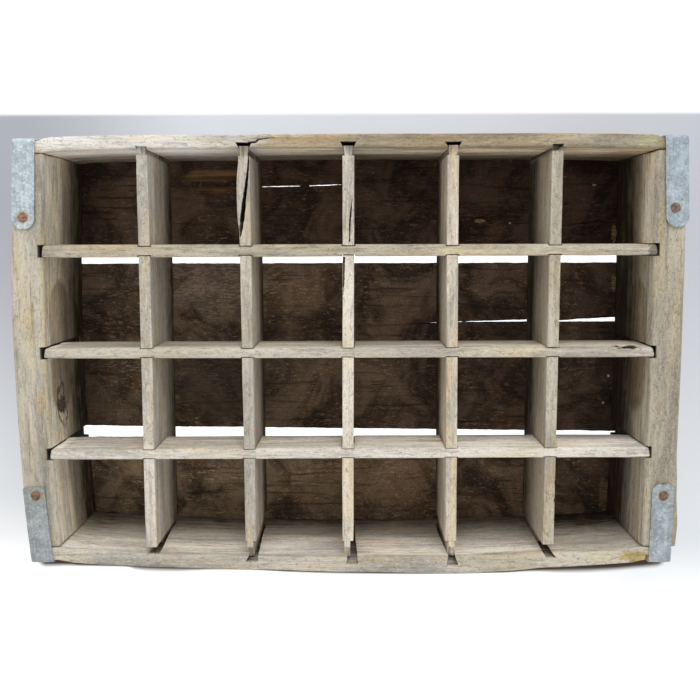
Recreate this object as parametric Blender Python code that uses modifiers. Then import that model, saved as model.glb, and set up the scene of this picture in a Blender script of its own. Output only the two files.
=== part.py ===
"""A wooden soda crate for 24 bottles.

Two end boards and two side boards stand on three bottom boards, all nailed. Five cross dividers and
three shallower long dividers are halved into each other and make six by four cells. Sliding dovetails
hold the cross dividers in the side boards, and grooves in the end boards hold the long ones. A
zinc-coated strap is nailed over each corner of the rim. The old boards have bowed outwards.

X runs along the crate, Y across it and Z up. The origin is on the floor, under the middle of the
whole crate with its bows. Far means towards +Y, near towards -Y, left towards -X.
"""

import math

import bmesh
import bpy
from mathutils import Matrix, Vector

# Driving dimensions, in metres
crate_length = 0.470  # between the outer faces of the end boards at the corners
crate_width = 0.306  # between the outer faces of the side boards at the corners
crate_height = 0.100  # floor to rim
end_thickness = 0.0215
side_thickness = 0.0100
bottom_thickness = 0.0095

# How far each board has bowed outwards at the middle of its length
bow_left = 0.0050
bow_right = 0.0015
bow_far = 0.0032
bow_near = 0.0065

# Gaps between neighbouring pieces, how far cutters run past what they cut, and worn edges
clearance = 0.0003
overrun = 0.004
worn_edge = 0.0012
divider_edge = 0.0007
weld = 0.00001

# Cells and dividers
columns = 6
rows = 4
long_thickness = 0.0080
cross_thickness = 0.0084
divider_gap = 0.0115  # between the bottom boards and the cross dividers' lower edges
long_height = 0.0435
divider_drop = 0.0006  # the dividers' top edges lie this far below the rim
long_shift = 0.0021  # the long dividers stand this far towards the far side

# Where the dividers cross: the long ones are waisted, and the cross ones slotted to take the waist
housing_depth = 0.0012
housing_play = 0.0005
slot_play = 0.0004

# Grooves in the end boards, and the space left behind the long dividers' ends
groove_depth = 0.0040
groove_play = 0.0005
end_gap_left = 0.0024
end_gap_right = 0.0009

# Sliding dovetails in the side boards
socket_depth = 0.0042
socket_play = 0.0008
socket_flare = 0.0015
tail_neck = 0.0050
tail_flare = 0.0009
tail_length = 0.0070
far_shoulder_gap = 0.0020
near_shoulder_gap = 0.0057
near_tail_grip = 0.0030
near_stub_length = 0.0048
near_break_depth = 0.014  # the near tails have broken off this far below the dividers' top edges

# Hand-holds, scooped out of the outer faces of the end boards
handhold_length = 0.098
handhold_height = 0.034
handhold_depth = 0.011
handhold_drop = 0.028  # from the rim to the hand-holds' middle line
handhold_cove = 0.004

# Bottom boards: the two gaps between them, and the cracks
far_board_width = 0.081
near_board_width = 0.0725
far_gap = 0.0075
near_gap_left = 0.0112
near_gap_right = 0.0054
split_mouth = 0.0042
split_length = 0.226
split_offset = 0.0175  # of the split's mouth from the crate's middle line
crack_width = 0.0012
crack_length = 0.062
crack_shift = -0.038  # of the crack's middle from the crate's middle
crack_inset = 0.0255  # from the outer edge of the far board

# Corner straps
strap_width = 0.0158
strap_thickness = 0.0009
strap_corner = 0.0045
strap_bend = 0.0008
strap_side_reach = 0.038
strap_rim_reach = {"far_left": 0.0620, "far_right": 0.0615, "near_left": 0.0570, "near_right": 0.0585}
strap_nail_inset = {"far_left": 0.0078, "far_right": 0.0130, "near_left": 0.0062, "near_right": 0.0080}
strap_side_nail_inset = 0.0090

# Nails
strap_nail_head = 0.0031
strap_nail_cap = 0.0015
strap_nail_length = 0.030
board_nail_head = 0.0027
board_nail_cap = 0.0012
board_nail_length = 0.038
board_nail_sink = 0.0004
shank_radius = 0.0013
tip_length = 0.004
side_nail_rise = 0.0142  # of the lower side nails from the side board's lower edge
side_nail_drop = 0.0120  # of the upper side nails from the strap's lower end
side_nail_inset = 0.0135
bottom_nail_inset = 0.0065
bottom_nail_margin = 0.0120  # from the long edge of a bottom board
bottom_nail_edge = 0.0060  # from the inner face of a side board

# Shares of the nail head's radius and height, from its middle to its rim
nail_head_shares = ((0.0, 1.0), (0.55, 0.92), (0.90, 0.62), (1.0, 0.25), (1.0, 0.0))

# Numbers of pieces in curved shapes
bow_pieces = 12
nail_sides = 8
arc_pieces = 6

# Derived sizes
half_length = crate_length / 2
half_width = crate_width / 2
inner_half_length = half_length - end_thickness
inner_half_width = half_width - side_thickness
wall_base = bottom_thickness + clearance
divider_top = crate_height - divider_drop
divider_base = bottom_thickness + divider_gap
long_base = divider_top - long_height
joint_level = (divider_top + long_base) / 2
column_pitch = (2 * inner_half_length + cross_thickness) / columns
row_pitch = (2 * inner_half_width + long_thickness) / rows
waist = long_thickness - 2 * housing_depth
half_housing = cross_thickness / 2 + housing_play
half_slot = waist / 2 + slot_play
half_groove = long_thickness / 2 + groove_play

cross_places = [(column - columns / 2) * column_pitch for column in range(1, columns)]
long_places = [long_shift + (rows / 2 - row) * row_pitch for row in range(1, rows)]
long_names = ("far", "middle", "near")
sides = {"far": 1, "near": -1}
ends = {"left": -1, "right": 1}
end_bows = {"left": bow_left, "right": bow_right}
side_bows = {"far": bow_far, "near": bow_near}

# Finishes: colour, roughness and metallic value
wood_finish = ((0.50, 0.44, 0.35, 1.0), 0.85, 0.0)
divider_finish = ((0.46, 0.42, 0.35, 1.0), 0.88, 0.0)
floor_finish = ((0.085, 0.060, 0.042, 1.0), 0.92, 0.0)
zinc_finish = ((0.44, 0.52, 0.55, 1.0), 0.45, 0.9)
rust_finish = ((0.28, 0.15, 0.10, 1.0), 0.75, 0.4)


def clear_scene():
    for thing in list(bpy.data.objects):
        bpy.data.objects.remove(thing, do_unlink=True)


def new_collection(name):
    collection = bpy.data.collections.new(name)
    bpy.context.scene.collection.children.link(collection)
    return collection


clear_scene()
parts = new_collection("wooden_soda_crate")
cutters = new_collection("cutters")

# Everything hangs on this empty, which puts the origin under the middle of the bowed crate
middle = bpy.data.objects.new("crate_middle", None)
middle.location = ((bow_left - bow_right) / 2, (bow_near - bow_far) / 2, 0)
parts.objects.link(middle)


def finish(thing, settings):
    """Gives a piece a material of its own."""
    colour, roughness, metallic = settings
    material = bpy.data.materials.new(thing.name + "_finish")
    material.use_nodes = True
    shader = material.node_tree.nodes["Principled BSDF"]
    shader.inputs["Base Color"].default_value = colour
    shader.inputs["Roughness"].default_value = roughness
    shader.inputs["Metallic"].default_value = metallic
    thing.data.materials.append(material)


def object_from(shape, name, collection):
    """Turns a bmesh into a named object on the crate's empty; a cutter stays out of renders."""
    mesh = bpy.data.meshes.new(name)
    shape.to_mesh(mesh)
    shape.free()
    thing = bpy.data.objects.new(name, mesh)
    collection.objects.link(thing)
    thing.parent = middle
    if collection == cutters:
        thing.hide_render = True
        thing.display_type = "WIRE"
    return thing


def add_box(shape, low, high):
    """Adds a box between two corners to a bmesh."""
    low = Vector(low)
    high = Vector(high)
    place = Matrix.Translation((low + high) / 2)
    bmesh.ops.create_cube(shape, size=1, matrix=place @ Matrix.Diagonal((*(high - low), 1)))


def box_cutter(name, boxes):
    """One cutter made of boxes that don't meet."""
    shape = bmesh.new()
    for low, high in boxes:
        add_box(shape, low, high)
    return object_from(shape, name, cutters)


def is_level(face):
    heights = [corner.co.z for corner in face.verts]
    return max(heights) - min(heights) < weld


def prism(name, outline, low, high, collection, turn=None):
    """A flat outline drawn as a curve and made thick from low to high along Z, as a mesh."""
    curve = bpy.data.curves.new(name + "_outline", "CURVE")
    curve.dimensions = "2D"
    curve.fill_mode = "BOTH"
    curve.extrude = (high - low) / 2
    spline = curve.splines.new("POLY")
    spline.points.add(len(outline) - 1)
    for point, (x, y) in zip(spline.points, outline):
        point.co = (x, y, 0, 1)
    spline.use_cyclic_u = True
    drawn = bpy.data.objects.new(name + "_outline", curve)
    parts.objects.link(drawn)
    bpy.context.view_layer.update()
    graph = bpy.context.evaluated_depsgraph_get()
    flat = bpy.data.meshes.new_from_object(drawn.evaluated_get(graph))
    bpy.data.objects.remove(drawn)
    shape = bmesh.new()
    shape.from_mesh(flat)
    bmesh.ops.remove_doubles(shape, verts=shape.verts, dist=weld)
    # Each cap becomes one face, because the curve's caps hold slivers where points are in line
    caps = [face for face in shape.faces if is_level(face)]
    bmesh.ops.delete(shape, geom=caps, context="FACES")
    bmesh.ops.holes_fill(shape, edges=[edge for edge in shape.edges if edge.is_boundary])
    bmesh.ops.recalc_face_normals(shape, faces=shape.faces)
    shape.transform((turn or Matrix()) @ Matrix.Translation((0, 0, (low + high) / 2)))
    return object_from(shape, name, collection)


def wear_edges(thing, width=worn_edge, segments=2):
    """Rounds the sawn edges that years of handling have worn."""
    bevel = thing.modifiers.new("worn_edges", "BEVEL")
    bevel.width = width
    bevel.segments = segments


def cut(thing, cutter):
    boolean = thing.modifiers.new(cutter.name, "BOOLEAN")
    boolean.operation = "DIFFERENCE"
    boolean.object = cutter


def bow_at(place, half_span, bow):
    """How far a board has bowed at this place; past the half span it is held straight."""
    share = place / half_span
    return bow * max(0, 1 - share * share)


def end_bow(end, y):
    return bow_at(y, inner_half_width, end_bows[end])


def side_bow(side, x):
    return bow_at(x, inner_half_length, side_bows[side])


def bowed_board(name, low, high, along, half_span, bow, outwards):
    """A board that runs along one axis and bows outwards along the other."""
    shape = bmesh.new()
    add_box(shape, low, high)
    across = 1 - along
    normal = [0, 0, 0]
    normal[along] = 1
    for piece in range(bow_pieces + 1):
        place = [0, 0, 0]
        place[along] = half_span * (2 * piece / bow_pieces - 1)
        everything = shape.verts[:] + shape.edges[:] + shape.faces[:]
        bmesh.ops.bisect_plane(shape, geom=everything, plane_co=place, plane_no=normal)
    for corner in shape.verts:
        corner.co[across] += outwards * bow_at(corner.co[along], half_span, bow)
    return object_from(shape, name, parts)


# The walls


def end_board(end):
    """An end board with its hand-hold and its grooves, which run from edge to edge."""
    name = "end_board_" + end
    sign = ends[end]
    reach_y = inner_half_width - clearance
    faces = sorted((sign * half_length, sign * inner_half_length))
    low = (faces[0], -reach_y, wall_base)
    high = (faces[1], reach_y, crate_height)
    board = bowed_board(name, low, high, 1, inner_half_width, end_bows[end], sign)
    wear_edges(board)
    grooves = []
    for y in long_places:
        face = inner_half_length + end_bow(end, y)
        span = sorted((sign * (face - overrun), sign * (face + groove_depth)))
        low = (span[0], y - half_groove, wall_base - overrun)
        high = (span[1], y + half_groove, crate_height + overrun)
        grooves.append((low, high))
    cut(board, box_cutter("grooves_" + end, grooves))
    cut(board, handhold_cutter(end))
    finish(board, wood_finish)
    return board


def handhold_cutter(end):
    """A rounded slot across the grain, with a coved back, as deep as the fingers need."""
    radius = handhold_height / 2
    straight = handhold_length / 2 - radius
    outline = []
    for side in (1, -1):
        for piece in range(arc_pieces + 1):
            angle = math.pi * (piece / arc_pieces - side / 2)
            outline.append((side * straight + radius * math.cos(angle), radius * math.sin(angle)))
    sign = ends[end]
    # The outline's length turns to lie along Y, and its thickness along X, inwards
    turn = Matrix(((0, 0, -sign, 0), (sign, 0, 0, 0), (0, -1, 0, 0), (0, 0, 0, 1)))
    face = half_length + end_bows[end]
    place = Matrix.Translation((sign * face, 0, crate_height - handhold_drop))
    start = -(overrun + handhold_cove)
    cutter = prism("handhold_" + end, outline, start, handhold_depth, cutters, place @ turn)
    wear_edges(cutter, handhold_cove)
    return cutter


def side_board(side):
    """A side board with its five dovetail sockets, open at the rim."""
    sign = sides[side]
    faces = sorted((sign * half_width, sign * inner_half_width))
    low = (-half_length, faces[0], wall_base)
    high = (half_length, faces[1], crate_height)
    name = "side_board_" + side
    board = bowed_board(name, low, high, 0, inner_half_length, side_bows[side], sign)
    wear_edges(board)
    for number, x in enumerate(cross_places, 1):
        cut(board, socket_cutter(side, number, x))
    finish(board, wood_finish)
    return board


def socket_cutter(side, number, x):
    """The flared hollow that a cross divider's tail slides into from the rim."""
    sign = sides[side]
    face = inner_half_width + side_bow(side, x)
    mouth = tail_neck / 2 + socket_play
    back = mouth + socket_flare
    outline = [
        (x - mouth, sign * (face - overrun)),
        (x + mouth, sign * (face - overrun)),
        (x + mouth, sign * face),
        (x + back, sign * (face + socket_depth)),
        (x - back, sign * (face + socket_depth)),
        (x - mouth, sign * face),
    ]
    base = divider_base - clearance
    return prism(f"socket_{side}_{number}", outline, base, crate_height + overrun, cutters)


# The dividers


def cross_divider(number, x):
    """A cross divider: a dovetail tail at each end, and slots from the top for the long dividers."""
    name = f"cross_divider_{number}"
    far_shoulder = inner_half_width - far_shoulder_gap
    far_end = far_shoulder + tail_length
    near_shoulder = near_shoulder_gap - inner_half_width
    near_end = -(inner_half_width + side_bow("near", x) + near_tail_grip)
    neck = tail_neck / 2
    tip = neck + tail_flare
    half = cross_thickness / 2
    right_side = [
        (tip, near_end),
        (neck, near_end + tail_length),
        (neck, near_shoulder),
        (half, near_shoulder),
        (half, far_shoulder),
        (neck, far_shoulder),
        (tip, far_end),
    ]
    outline = [(x + across, y) for across, y in right_side]
    outline += [(x - across, y) for across, y in reversed(right_side)]
    divider = prism(name, outline, divider_base, divider_top, parts)
    wear_edges(divider, divider_edge, 1)
    slots = []
    for y in long_places:
        low = (x - half - overrun, y - half_slot, joint_level - clearance / 2)
        high = (x + half + overrun, y + half_slot, divider_top + overrun)
        slots.append((low, high))
    cut(divider, box_cutter(name + "_slots", slots))
    broken_low = (x - half, near_end - overrun, divider_top - near_break_depth)
    broken_high = (x + half, near_shoulder - near_stub_length, divider_top + overrun)
    cut(divider, box_cutter(name + "_break", [(broken_low, broken_high)]))
    finish(divider, divider_finish)
    return divider


def crossing_cutter(name, x, y):
    """What a cross divider takes out of a long one: a notch from below, and both faces above it."""
    half = long_thickness / 2 + overrun
    low = long_base - overrun
    high = divider_top + overrun
    shoulder = joint_level + clearance / 2
    right_side = [(half, low), (half, high), (waist / 2, high), (waist / 2, shoulder)]
    outline = [(y + across, up) for across, up in right_side]
    outline += [(y - across, up) for across, up in reversed(right_side)]
    # The outline lies in the plane of Y and Z, and its thickness along X
    turn = Matrix(((0, 0, 1, 0), (1, 0, 0, 0), (0, 1, 0, 0), (0, 0, 0, 1)))
    return prism(name, outline, x - half_housing, x + half_housing, cutters, turn)


def long_divider(label, y):
    """A long divider: notched from below for the cross dividers, and waisted above each notch."""
    name = "long_divider_" + label
    left = inner_half_length + end_bow("left", y) + groove_depth - end_gap_left
    right = inner_half_length + end_bow("right", y) + groove_depth - end_gap_right
    half = long_thickness / 2
    shape = bmesh.new()
    add_box(shape, (-left, y - half, long_base), (right, y + half, divider_top))
    divider = object_from(shape, name, parts)
    wear_edges(divider, divider_edge, 1)
    for number, x in enumerate(cross_places, 1):
        cut(divider, crossing_cutter(f"{name}_crossing_{number}", x, y))
    finish(divider, divider_finish)
    return divider


# The bottom boards

# Long edges of the three bottom boards, from far to near
far_board_edge = half_width - far_board_width
middle_far_edge = far_board_edge - far_gap
near_board_edge = near_board_width - half_width
middle_near_left = near_board_edge + near_gap_left
middle_near_right = near_board_edge + near_gap_right


def bottom_board(label, outline):
    board = prism("bottom_board_" + label, outline, 0, bottom_thickness, parts)
    wear_edges(board)
    finish(board, floor_finish)
    return board


def bottom_boards():
    """Three boards along the crate. The middle one has split from its right end."""
    boards = {}
    far_outline = [
        (-half_length, far_board_edge),
        (half_length, far_board_edge),
        (half_length, half_width),
        (-half_length, half_width),
    ]
    boards["far"] = bottom_board("far", far_outline)
    middle_outline = [
        (-half_length, middle_near_left),
        (half_length, middle_near_right),
        (half_length, middle_far_edge),
        (-half_length, middle_far_edge),
    ]
    boards["middle"] = bottom_board("middle", middle_outline)
    near_outline = [
        (-half_length, -half_width),
        (half_length, -half_width),
        (half_length, near_board_edge),
        (-half_length, near_board_edge),
    ]
    boards["near"] = bottom_board("near", near_outline)
    split_outline = [
        (half_length - split_length, split_offset),
        (half_length + overrun, split_offset - split_mouth / 2),
        (half_length + overrun, split_offset + split_mouth / 2),
    ]
    past = bottom_thickness + overrun
    cut(boards["middle"], prism("floor_split", split_outline, -overrun, past, cutters))
    crack_y = half_width - crack_inset
    crack_low = (crack_shift - crack_length / 2, crack_y - crack_width / 2, -overrun)
    crack_high = (crack_shift + crack_length / 2, crack_y + crack_width / 2, past)
    cut(boards["far"], box_cutter("floor_crack", [(crack_low, crack_high)]))
    return boards


# The corner straps


def strap_path(rim_reach):
    """Places along a strap: distance out from the crate's corner edge, height, width and outward turn."""
    radius = strap_bend
    centre_out = clearance - radius
    centre_up = crate_height + clearance - radius
    flat = rim_reach + centre_out
    drop = strap_side_reach - radius
    path = []
    for piece in range(arc_pieces + 1):
        angle = math.pi / 2 * piece / arc_pieces
        along = strap_corner * (1 - math.cos(angle))
        narrowing = strap_corner * (1 - math.sin(angle))
        path.append((centre_out - flat + along, crate_height + clearance, narrowing))
    for piece in range(arc_pieces + 1):
        angle = math.pi / 2 * piece / arc_pieces
        out = centre_out + radius * math.sin(angle)
        path.append((out, centre_up + radius * math.cos(angle), 0))
    for piece in range(arc_pieces + 1):
        angle = math.pi / 2 * piece / arc_pieces
        along = drop - strap_corner * (1 - math.sin(angle))
        narrowing = strap_corner * (1 - math.cos(angle))
        path.append((clearance, centre_up - along, narrowing))
    return path


def strap_centre(end, side, inwards):
    """Place of the strap's middle line across the end board, which it follows as that board bows."""
    reach = strap_rim_reach[side + "_" + end]
    slope = end_bow(end, half_width - reach) / reach
    return ends[end] * (half_length - strap_width / 2 + slope * inwards)


def corner_strap(end, side):
    """A strip with rounded corners, bent over the rim and down the side board."""
    corner = side + "_" + end
    path = strap_path(strap_rim_reach[corner])
    shape = bmesh.new()
    rows_of_corners = []
    for out, height, narrowing in path:
        middle_x = strap_centre(end, side, max(0, -out))
        half = strap_width / 2 - narrowing
        y = sides[side] * (half_width + out)
        row = [shape.verts.new((middle_x + across * half, y, height)) for across in (-1, 0, 1)]
        rows_of_corners.append(row)
    for first, second in zip(rows_of_corners, rows_of_corners[1:]):
        for step in (0, 1):
            shape.faces.new((first[step], first[step + 1], second[step + 1], second[step]))
    bmesh.ops.recalc_face_normals(shape, faces=shape.faces)
    if shape.faces[:][0].normal.z < 0:
        bmesh.ops.reverse_faces(shape, faces=shape.faces[:])
    strap = object_from(shape, "corner_strap_" + corner, parts)
    solidify = strap.modifiers.new("sheet", "SOLIDIFY")
    solidify.thickness = strap_thickness
    solidify.offset = 1
    solidify.use_even_offset = True
    finish(strap, zinc_finish)
    return strap


# The nails


def turned(name, profile, collection, place, outwards):
    """A profile of radii and heights, top to bottom, turned about its axis, which points outwards."""
    shape = bmesh.new()
    corners = [shape.verts.new((radius, 0, height)) for radius, height in profile]
    for first, second in zip(corners, corners[1:]):
        shape.edges.new((first, second))
    thing = object_from(shape, name, collection)
    screw = thing.modifiers.new("turned", "SCREW")
    screw.steps = nail_sides
    screw.render_steps = nail_sides
    screw.use_merge_vertices = True
    screw.merge_threshold = weld
    thing.rotation_euler = Vector(outwards).to_track_quat("Z", "Y").to_euler()
    thing.location = place
    return thing


def nail(name, head_radius, cap, length, place, outwards):
    """A nail with the underside of its head at the place."""
    head = [(across * head_radius, up * cap) for across, up in nail_head_shares]
    shank = [(shank_radius, 0), (shank_radius, tip_length - length), (0, -length)]
    finish(turned(name, head + shank, parts, place, outwards), rust_finish)


def nail_hole(name, length, place, outwards, pieces, sunk_radius=0):
    """The hole that a nail leaves in each piece: for its shank and, where it is sunk, for its head."""
    narrow = shank_radius + clearance
    depth = length + clearance
    mouth = [(narrow, overrun)]
    if sunk_radius:
        wide = sunk_radius + clearance
        mouth = [(wide, overrun), (wide, -clearance), (narrow, -clearance)]
    hole = [(0, overrun)] + mouth + [(narrow, -depth), (0, -depth)]
    cutter = turned(name + "_hole", hole, cutters, place, outwards)
    for piece in pieces:
        cut(piece, cutter)


def board_nail(name, place, outwards, pieces):
    """A nail whose head is driven just below a board's face."""
    nail(name, board_nail_head, board_nail_cap, board_nail_length, place, outwards)
    nail_hole(name, board_nail_length, place, outwards, pieces, board_nail_head)


def strap_nail(name, place, outwards, pieces):
    """A nail whose head lies on a strap."""
    nail(name, strap_nail_head, strap_nail_cap, strap_nail_length, place, outwards)
    nail_hole(name, strap_nail_length, place, outwards, pieces)


def nail_strap(end, side, strap, end_piece, side_piece):
    """One nail down through the strap into the end board, one through its side leg."""
    corner = side + "_" + end
    sign = sides[side]
    seat = clearance + strap_thickness + clearance
    reach = strap_rim_reach[corner] - strap_nail_inset[corner]
    x = strap_centre(end, side, reach)
    top = (x, sign * (half_width - reach), crate_height + seat)
    strap_nail("rim_strap_nail_" + corner, top, (0, 0, 1), [strap, end_piece])
    x = strap_centre(end, side, 0)
    level = crate_height - strap_side_reach + strap_side_nail_inset
    outer = (x, sign * (half_width + seat), level)
    strap_nail("side_strap_nail_" + corner, outer, (0, sign, 0), [strap, side_piece, end_piece])


def nail_side_board(end, side, end_piece, side_piece):
    """Nails through the side board into the end grain of the end board, below the strap."""
    sign = sides[side]
    x = ends[end] * (half_length - side_nail_inset)
    y = sign * (half_width - board_nail_cap - board_nail_sink)
    levels = (wall_base + side_nail_rise, crate_height - strap_side_reach - side_nail_drop)
    for number, level in enumerate(levels, 1):
        name = f"side_nail_{side}_{end}_{number}"
        board_nail(name, (x, y, level), (0, sign, 0), [side_piece, end_piece])


def bottom_nail_places():
    """Where the bottom boards are nailed across their width: label and place along Y."""
    margin = bottom_nail_margin
    middle_low = max(middle_near_left, middle_near_right) + margin
    middle_high = middle_far_edge - margin
    return [
        ("far", inner_half_width - bottom_nail_edge),
        ("far", far_board_edge + margin),
        ("middle", middle_high),
        ("middle", (middle_low + middle_high) / 2),
        ("middle", middle_low),
        ("near", near_board_edge - margin),
        ("near", bottom_nail_edge - inner_half_width),
    ]


def nail_bottom(end, boards, end_piece):
    """Nails up through the bottom boards into the end board."""
    x = ends[end] * (half_length - bottom_nail_inset)
    level = board_nail_cap + board_nail_sink
    for number, (label, y) in enumerate(bottom_nail_places(), 1):
        name = f"bottom_nail_{end}_{number}"
        board_nail(name, (x, y, level), (0, 0, -1), [boards[label], end_piece])


def build_crate():
    end_pieces = {end: end_board(end) for end in ends}
    side_pieces = {side: side_board(side) for side in sides}
    boards = bottom_boards()
    for number, x in enumerate(cross_places, 1):
        cross_divider(number, x)
    for label, y in zip(long_names, long_places):
        long_divider(label, y)
    for end in ends:
        for side in sides:
            strap = corner_strap(end, side)
            nail_strap(end, side, strap, end_pieces[end], side_pieces[side])
            nail_side_board(end, side, end_pieces[end], side_pieces[side])
        nail_bottom(end, boards, end_pieces[end])


build_crate()
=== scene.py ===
"""The look of the wooden soda crate: weathered boards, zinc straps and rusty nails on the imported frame.

Lengths are in metres. A piece is shaped in the crate's plan, whose zero lies between the corners of
the boards, and moved to its place in the frame when it is done. Far means towards +Y, near towards
-Y, left towards -X.
"""

import math

import bmesh
import bpy
from mathutils import Euler, Matrix, Vector, noise


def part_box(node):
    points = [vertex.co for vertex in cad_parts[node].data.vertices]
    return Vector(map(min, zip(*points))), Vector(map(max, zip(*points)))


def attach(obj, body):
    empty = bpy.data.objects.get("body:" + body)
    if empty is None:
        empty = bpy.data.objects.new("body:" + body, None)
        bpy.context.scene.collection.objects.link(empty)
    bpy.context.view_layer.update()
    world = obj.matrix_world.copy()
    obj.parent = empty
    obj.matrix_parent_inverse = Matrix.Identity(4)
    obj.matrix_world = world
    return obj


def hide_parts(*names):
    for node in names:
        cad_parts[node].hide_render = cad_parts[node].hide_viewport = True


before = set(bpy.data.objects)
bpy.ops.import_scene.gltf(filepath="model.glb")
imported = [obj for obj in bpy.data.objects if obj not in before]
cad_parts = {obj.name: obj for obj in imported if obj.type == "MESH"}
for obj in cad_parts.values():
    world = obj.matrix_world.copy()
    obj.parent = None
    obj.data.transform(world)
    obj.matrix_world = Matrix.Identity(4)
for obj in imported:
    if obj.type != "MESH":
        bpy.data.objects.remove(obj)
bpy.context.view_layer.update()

# The photograph's camera, found from the crate's corners in it
focal_pixels = 870.0
frame_pixels = 700.0
sensor_width = 36.0  # mm
camera_place = (0.0045, 0.0806, 0.7182)
camera_turn = (-6.877, 0.244, -0.131)  # degrees

# Sizes read from the frame
floor_low, floor_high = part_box("bottom_board_far")
near_floor_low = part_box("bottom_board_near")[0]
middle = Vector(((floor_low.x + floor_high.x) / 2, (near_floor_low.y + floor_high.y) / 2, 0))


def plan(node):
    """Lowest and highest corners of a CAD node in the crate's plan."""
    low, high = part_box(node)
    return low - middle, high - middle


half_length = plan("bottom_board_far")[1].x
half_width = plan("bottom_board_far")[1].y
inner_half_length = plan("end_board_right")[0].x
inner_half_width = plan("side_board_far")[0].y
rim = plan("side_board_far")[1].z
wall_base = plan("side_board_far")[0].z
floor_top = plan("bottom_board_far")[1].z
divider_base = plan("cross_divider_1")[0].z
divider_top = plan("cross_divider_1")[1].z
long_base = plan("long_divider_far")[0].z
joint_level = (long_base + divider_top) / 2
end_thickness = half_length - inner_half_length
side_thickness = half_width - inner_half_width
cross_names = [f"cross_divider_{number}" for number in range(1, 6)]
long_names = ["long_divider_far", "long_divider_middle", "long_divider_near"]
cross_places = [(plan(name)[0].x + plan(name)[1].x) / 2 for name in cross_names]
long_places = [(plan(name)[0].y + plan(name)[1].y) / 2 for name in long_names]
cross_half = (plan("cross_divider_1")[1].x - plan("cross_divider_1")[0].x) / 2
long_half = (plan("long_divider_far")[1].y - plan("long_divider_far")[0].y) / 2
# Which way each board faces outwards, along X for the ends and along Y for the sides
outward = {"left": -1, "right": 1, "near": -1, "far": 1}
bows = {
    "left": -half_length - plan("end_board_left")[0].x,
    "right": plan("end_board_right")[1].x - half_length,
    "far": plan("side_board_far")[1].y - half_width,
    "near": -half_width - plan("side_board_near")[0].y,
}

# Grid steps of the boards' faces, and places close together where an edge is worn round
along_step = 0.0030
across_step = 0.0026
through_step = 0.0016
edge_places = (0.0, 0.0004, 0.0010, 0.0018, 0.0028)
# How far a cutter stands out past what it cuts, and how far it laps over another cut
overrun = 0.004
over_top = divider_top + overrun
clearance = 0.001

# How wide the near gap between the bottom boards is at its left and right ends
near_gaps = (0.0112, 0.0054)

# Where the far side board's colour changes, and the torn patches of the far bottom board
far_fade = (-0.150, 0.060)
torn_patches = [((-0.108, 0.1345), (0.034, 0.0050)), ((-0.112, 0.1235), (0.026, 0.0022))]

# Wear of the wood
worn_edge = 0.0013
worn_inner_edge = 0.0030
relief = 0.00028
rim_dip = 0.0005
worn_levels = (0.06, 0.09)  # where the inner edges' extra wear starts and is full
edge_unevenness = 0.45  # of the edges' rounding
dent_depth = 0.0022
dent_limit = 0.42  # the noise above it dents an edge
most_rounding = 0.45  # of a board's thickness
divider_worn_edge = 0.0009
floor_worn_edge = 0.0011
side_inner_wear = 0.0011
long_worn_edge = 0.0010
long_far_wear = 0.0026
long_foot = 0.010  # up to here the long dividers are worn little
long_end_wear = (0.0006, 0.012)  # how much thinner they are at their ends, and from where
ragged_edge = 0.0003

# Joints between dividers and boards
waist_half = 0.0029
housing_half = cross_half + 0.0007
slot_half = waist_half + 0.0007
groove_half = long_half + 0.0005
groove_depth = 0.0042
socket_depth = 0.0044
socket_mouth = 0.0033
socket_flare = 0.0026
neck_half = 0.0025
tail_half = 0.0034
far_shoulder_gap = 0.0020
near_shoulder_gap = 0.0057
near_stub_length = 0.0048
near_break_depth = 0.009
deep_break = 0.030
break_step = 0.001
break_ragged = 0.0011
deep_break_ragged = 0.0004
far_break_ragged = 0.0003
joint_gap = 0.0002
# Grid steps and unevenness of the joints' cutters
joint_step = 0.002
slot_step = 0.004
slot_ragged = 0.0001
waist_ragged = 0.00022

# Cracks: how far under the surface they turn dark, how uneven their edges and their course are, the step
# along them, half their least width, and a divider's crack's depth, and how far from its path and how dark
# its inside is made
crack_lip = 0.0012
crack_ragged = 0.00028
crack_wobble = 0.0002
crack_step = 0.0010
least_crack_half = 0.00003
divider_crack_depth = 0.036
crack_dark_reach = 0.0024
crack_darkness = 0.95

# Ends that differ from the rest: how far the shoulders stand from the wall, and how much of the tail is left
odd_ends = {(1, "near"): (0.0011, 0.0), (5, "near"): (0.0029, 0.0), (5, "far"): (0.0003, 0.0)}
# Sockets that differ: their depth and flare
odd_sockets = {("far", 0): (0.0022, 0.0008), ("far", 4): (0.0026, 0.0008)}
# The near sockets, worn wider on one side: the left and right edges of their mouth at the rim, of their back
# and of their mouth at the foot, and their depth at the rim
near_sockets = [
    ((-0.0026, 0.0059), (-0.0026, 0.0059), (-0.0033, 0.0034), 0.0008),
    ((-0.0018, 0.0050), (-0.0041, 0.0050), (-0.0033, 0.0036), 0.0044),
    ((-0.0005, 0.0067), (-0.0013, 0.0077), (-0.0033, 0.0052), 0.0054),
    ((-0.0016, 0.0034), (-0.0031, 0.0059), (-0.0042, 0.0033), 0.0074),
    ((-0.0034, 0.0032), (-0.0013, 0.0064), (-0.0020, 0.0033), 0.0036),
]
# On that side, the near tails stand back from their sockets
slack_sides = (1, 1, 1, -1, -1)
slack_neck_half = 0.0016

# How far the dividers have crept sideways: each cross divider at its far and near end, and each long
# divider at its left and right end
cross_creep = [
    (-0.0004, -0.0018),
    (-0.0014, -0.0008),
    (-0.0009, -0.0019),
    (-0.0001, 0.0012),
    (0.0001, 0.0003),
]
long_creep = [(-0.0005, -0.0002), (0.0001, 0.0005), (-0.0006, 0.0006)]

# The far side board stands out at its ends, towards the left and towards the right
far_lean = (0.0013, 0.0019)
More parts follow.
